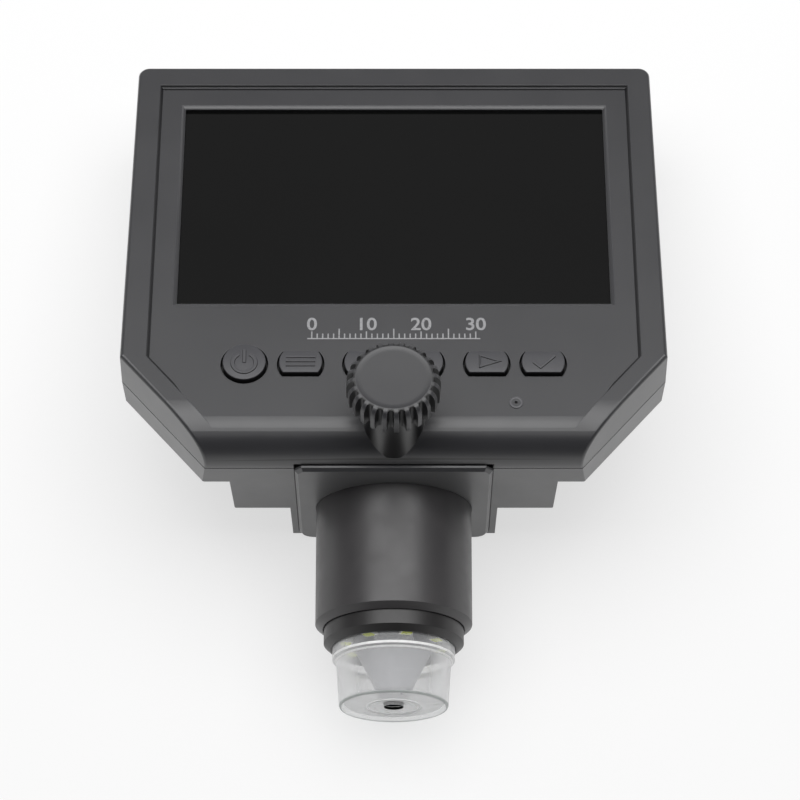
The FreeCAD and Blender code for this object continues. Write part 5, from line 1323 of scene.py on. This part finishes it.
@dataclass
class LampHead:
    """The lamps round the lens, the cone that shades it and the clear cap over both."""

    board_low: float = 31.9
    lamp_count: int = 8
    lamp_start_deg: float = -7.5
    lamp_circle: float = 10.8
    lamp_wide: float = 3.4
    lamp_deep: float = 2.7
    lamp_thick: float = 1.5
    pad_inset: float = 0.3
    pad_high: float = 0.4
    window_points: int = 28
    window_square: float = 0.45
    flange_thick: float = 0.9
    cone_radius: float = 9.2
    cone_spigot: float = 8.1
    cone_end_radius: float = 2.6
    cone_hole: float = 2.1
    cone_end: float = 46.15
    web_low: float = 30.7
    cap_top: float = 31.2
    cap_spigot: float = 13.49
    cap_step: float = 37.0
    cap_radius: float = 12.6
    cap_end_radius: float = 11.96
    cap_end: float = 47.05
    cap_wall: float = 0.9
    cap_floor: float = 0.85
    cap_hole: float = 2.15
    ring_radius: float = 5.7
    steps: int = 128

    def build_lamps(self) -> None:
        """Builds the eight surface-mount lamps: ceramic body, phosphor window, two end pads."""
        shape = Shape()
        for index in range(self.lamp_count):
            angle = math.radians(self.lamp_start_deg + (index + 0.5) * 360 / self.lamp_count)

            def turned(p: Vector, a: float = angle) -> Vector:
                """Takes a point of the lamp at the front round to its place on the circle."""
                y = p.y + self.lamp_circle
                sine, cosine = math.sin(a), math.cos(a)
                return Vector((p.x * cosine + y * sine, -p.x * sine + y * cosine, p.z))

            half, deep, low = self.lamp_wide / 2, self.lamp_deep / 2, self.board_low
            top, end = low + self.lamp_thick, self.pad_inset
            shape.box((-half + 0.25, -deep, low), (half - 0.25, deep, top - 0.05), 0.12, 0, turned)
            for side in (-1, 1):
                left, right = sorted((side * half, side * (half - end)))
                shape.box(
                    (left, -deep + end, low), (right, deep - end, low + self.pad_high), 0.05, 2, turned)
            window = []
            for height, inset in ((low + 0.5, 0.0), (top - 0.02, 0.0), (top, 0.18)):
                row = []
                for cx, sy in circle(1.0, self.window_points):
                    x = (half - 0.5 - inset) * math.copysign(abs(cx) ** self.window_square, cx)
                    y = (deep - 0.25 - inset) * math.copysign(abs(sy) ** self.window_square, sy)
                    row.append(turned(Vector((x, y, height))))
                window.append(row)
            shape.stack(window, 1)
        piece = shape.piece("surface_lamps", TUBE, [CERAMIC, PHOSPHOR, TINPLATE])
        settle(piece, "housing", "lamp_yellow", "led_lamps")

    def build_cone(self) -> None:
        """Builds the light cone with its flange, its straight flank and its rounded nose."""
        shape = Shape()
        rim = self.board_low + self.flange_thick
        inner = self.cone_radius - 1.7
        # The web's underside and the nose, bore and inside take painted shade.
        shape.lathe([
            (inner, self.web_low), (self.cone_spigot, self.web_low), (self.cone_spigot, self.board_low),
            (self.cone_radius - 0.1, self.board_low), (self.cone_radius, self.board_low + 0.1),
            (self.cone_radius, rim - 0.15), (self.cone_radius - 0.12, rim),
            (self.cone_end_radius + 0.08, self.cone_end - 0.35),
            (self.cone_end_radius - 0.06, self.cone_end - 0.1),
            (self.cone_end_radius - 0.28, self.cone_end), (self.cone_hole + 0.1, self.cone_end),
            (self.cone_hole, self.cone_end - 0.12), (self.cone_hole, self.cone_end - 0.5),
            (inner, rim)], self.steps, part=[1] + [0] * 7 + [1] * 6)
        piece = shape.piece("shading_cone", TUBE, [CONE_GREY, HOLE_SHADE])
        settle(piece, "housing", "cone_plastic", "light_cone")

    def build_cap(self) -> None:
        """Builds the clear cap: spigot, rounded shoulder, tapered wall and ringed end with its hole."""
        shape = Shape()
        wall, end, floor = self.cap_wall, self.cap_end, self.cap_end - self.cap_floor
        # Of these finishes, bright is a painted highlight on rounded edges, line is painted shade at the
        # end's rim, and dark is painted shade on the wall of the hole.
        clear, face, bright, line, dark, neck = range(6)
        section = [
            (self.cap_spigot - wall, self.cap_top + 0.1, neck),
            (self.cap_spigot - wall, self.cap_step - wall - 0.2, clear),
            (self.cap_spigot - wall - 0.15, self.cap_step - wall, clear),
            (self.cap_radius - wall, self.cap_step + 0.15, clear),
            (self.cap_end_radius - wall + 0.04, floor - 0.6, clear),
            (self.cap_end_radius - wall - 0.15, floor - 0.15, clear),
            (self.cap_end_radius - wall - 0.6, floor, clear),
            (self.cap_hole + 0.15, floor, dark), (self.cap_hole, floor + 0.15, dark),
            (self.cap_hole, end - 0.15, bright), (self.cap_hole + 0.35, end, face),
            (self.ring_radius - 0.5, end, bright), (self.ring_radius - 0.2, end - 0.28, face),
            (self.ring_radius + 0.2, end - 0.28, bright), (self.ring_radius + 0.5, end, face),
            (self.cap_end_radius - 1.1, end, face), (self.cap_end_radius - 0.5, end, line),
            (self.cap_end_radius - 0.15, end - 0.12, line), (self.cap_end_radius, end - 0.45, clear),
            (self.cap_radius, self.cap_step + 0.3, clear),
            (self.cap_radius + 0.1, self.cap_step + 0.1, bright),
            (self.cap_radius + 0.4, self.cap_step - 0.25, clear),
            (self.cap_spigot - 0.25, self.cap_step - 0.4, clear),
            (self.cap_spigot - 0.05, self.cap_step - 0.6, bright),
            (self.cap_spigot, self.cap_step - 1.15, neck),
            (self.cap_spigot, self.cap_top + 0.1, bright), (self.cap_spigot - 0.1, self.cap_top, bright),
            (self.cap_spigot - wall + 0.1, self.cap_top, bright)]
        shape.lathe([(radius, height) for radius, height, _ in section], self.steps,
                    part=[part for _, _, part in section])
        finishes = [CLEAR_CAP, CAP_FACE, CAP_EDGE, CAP_LINE, HOLE_SHADE, CAP_NECK]
        piece = shape.piece("moulded_clear_cap", TUBE, finishes, sharp_deg=50.0)
        settle(piece, "clear_cap", "cap_acrylic", "clear_cap")

    def build(self) -> None:
        """Builds lamps, cone and cap, and dresses the lamp board."""
        dress(["lamp_board"], WHITE_BOARD)
        self.build_lamps()
        self.build_cone()
        self.build_cap()


@dataclass
class Studio:
    """The pale table, the soft overhead light, the room's dim glow and the camera."""

    floor_radius: float = 8.0
    floor_points: int = 64
    floor_z: float = -0.0002
    pulp_scale: float = 900.0
    pulp_depth: float = 0.00002
    table_colour: str = "#F4F4F4"
    table_glow: float = 0.65
    softbox_wide: float = 1.5
    softbox_deep: float = 0.95
    softbox_high: float = 1.0
    softbox_back: float = 0.365
    softbox_watts: float = 14.3
    room_top: float = 0.3
    room_low: float = 0.25
    room_front: float = 0.02
    camera_mm: tuple[float, float, float] = (1.37, -278.03, 708.05)
    camera_tip_deg: float = 21.73
    focal_px: float = 3278.42
    sensor_mm: float = 36.0

    def build_table(self) -> None:
        """Lays the table: pale, with a white glow that only the camera and clear or glossy faces see."""
        mesh = bpy.data.meshes.new("table_top")
        rim = [(x, y, self.floor_z) for x, y in circle(self.floor_radius, self.floor_points)]
        mesh.from_pydata(rim, [], [tuple(range(self.floor_points))])
        material, tree, output = new_tree("table_paper_matt")
        place = add_node(tree, "TexCoord").outputs["Object"]
        pulp = add_node(tree, "TexNoise", {}, {
            "Vector": place, "Scale": self.pulp_scale, "Detail": 3.0})
        bump = add_node(tree, "Bump", {}, {
            "Distance": self.pulp_depth, "Height": pulp.outputs["Fac"]})
        paper = add_node(tree, "BsdfDiffuse", {}, {
            "Color": linear(self.table_colour), "Normal": bump.outputs["Normal"]})
        white = add_node(tree, "Emission", {}, {"Color": (1.0, 1.0, 1.0, 1.0), "Strength": 1.0})
        path = add_node(tree, "LightPath")
        seen = add_node(tree, "Math", {"operation": "MAXIMUM"}, {
            0: path.outputs["Is Camera Ray"], 1: path.outputs["Is Glossy Ray"]})
        seen = add_node(tree, "Math", {"operation": "MAXIMUM"}, {
            0: seen.outputs[0], 1: path.outputs["Is Transmission Ray"]})
        share = add_node(tree, "Math", {"operation": "MULTIPLY"}, {
            0: seen.outputs[0], 1: self.table_glow})
        mixed = add_node(tree, "MixShader", {}, {
            0: share.outputs[0], 1: paper.outputs[0], 2: white.outputs[0]})
        tree.links.new(mixed.outputs[0], output.inputs["Surface"])
        mesh.materials.append(material)
        table = bpy.data.objects.new("table_top", mesh)
        bpy.context.scene.collection.objects.link(table)

    def build_room(self) -> None:
        """Fills the room with a dim glow that is dark towards the front, as behind a photographer."""
        world = bpy.data.worlds.new("studio_room")
        world.use_nodes = True
        tree = world.node_tree
        tree.nodes.clear()
        output = add_node(tree, "OutputWorld")
        way = add_node(tree, "TexCoord").outputs["Generated"]
        parts = add_node(tree, "SeparateXYZ", {}, {0: way})
        glow = add_node(tree, "MapRange", {"interpolation_type": "SMOOTHSTEP"}, {
            "Value": parts.outputs["Z"], "From Min": 0.1, "From Max": 0.8,
            "To Min": self.room_low, "To Max": self.room_top})
        front = add_node(tree, "MapRange", {"interpolation_type": "SMOOTHSTEP"}, {
            "Value": parts.outputs["Y"], "From Min": -0.12, "From Max": -0.5, "To Min": 0.0, "To Max": 1.0})
        above = add_node(tree, "MapRange", {"interpolation_type": "SMOOTHSTEP"}, {
            "Value": parts.outputs["Z"], "From Min": 0.12, "From Max": 0.35, "To Min": 0.0, "To Max": 1.0})
        dark = add_node(tree, "Math", {"operation": "MULTIPLY"}, {
            0: front.outputs["Result"], 1: above.outputs["Result"]})
        level = add_node(tree, "Mix", {"data_type": "FLOAT"}, {
            0: dark.outputs[0], 2: glow.outputs["Result"], 3: self.room_front})
        shade = add_node(tree, "Background", {}, {
            "Color": (1.0, 1.0, 1.0, 1.0), "Strength": level.outputs[0]})
        tree.links.new(shade.outputs[0], output.inputs["Surface"])
        bpy.context.scene.world = world

    def build_softbox(self) -> None:
        """Hangs the large softbox over the table, a little behind the microscope."""
        light = bpy.data.lights.new("overhead_softbox", "AREA")
        light.shape = "RECTANGLE"
        light.size = self.softbox_wide
        light.size_y = self.softbox_deep
        light.energy = self.softbox_watts
        lamp = bpy.data.objects.new("overhead_softbox", light)
        lamp.location = (0.0, self.softbox_back, self.softbox_high)
        bpy.context.scene.collection.objects.link(lamp)

    def build_camera(self) -> None:
        """Places the camera where the photograph was taken from, with its field of view."""
        data = bpy.data.cameras.new("viewpoint")
        data.sensor_width = self.sensor_mm
        data.lens = self.focal_px / IMAGE_SIDE_PX * self.sensor_mm
        data.clip_start = 0.01
        data.clip_end = 60.0
        camera = bpy.data.objects.new("viewpoint", data)
        camera.location = Vector(self.camera_mm) * MM
        camera.rotation_euler = (math.radians(self.camera_tip_deg), 0.0, 0.0)
        bpy.context.scene.collection.objects.link(camera)
        bpy.context.scene.camera = camera

    def build(self) -> None:
        """Sets up the whole studio."""
        bpy.context.scene.view_settings.view_transform = "Standard"
        self.build_camera()
        self.build_table()
        self.build_room()
        self.build_softbox()


def main() -> None:
    """Builds the studio and every sub-assembly."""
    logging.basicConfig(level=logging.INFO, format="%(message)s")
    for stray in [o for o in bpy.data.objects if o.name in ("Cube", "Light", "Camera")]:
        bpy.data.objects.remove(stray)
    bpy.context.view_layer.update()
    for assembly in (Studio, Casing, PanelEdges, Display, KeyRow, PrintedRule, FocusKnob, LensTube,
                     LampHead, Electronics):
        assembly().build()
        LOG.info("finished %s", assembly.__name__)


if __name__ == "__main__":
    main()
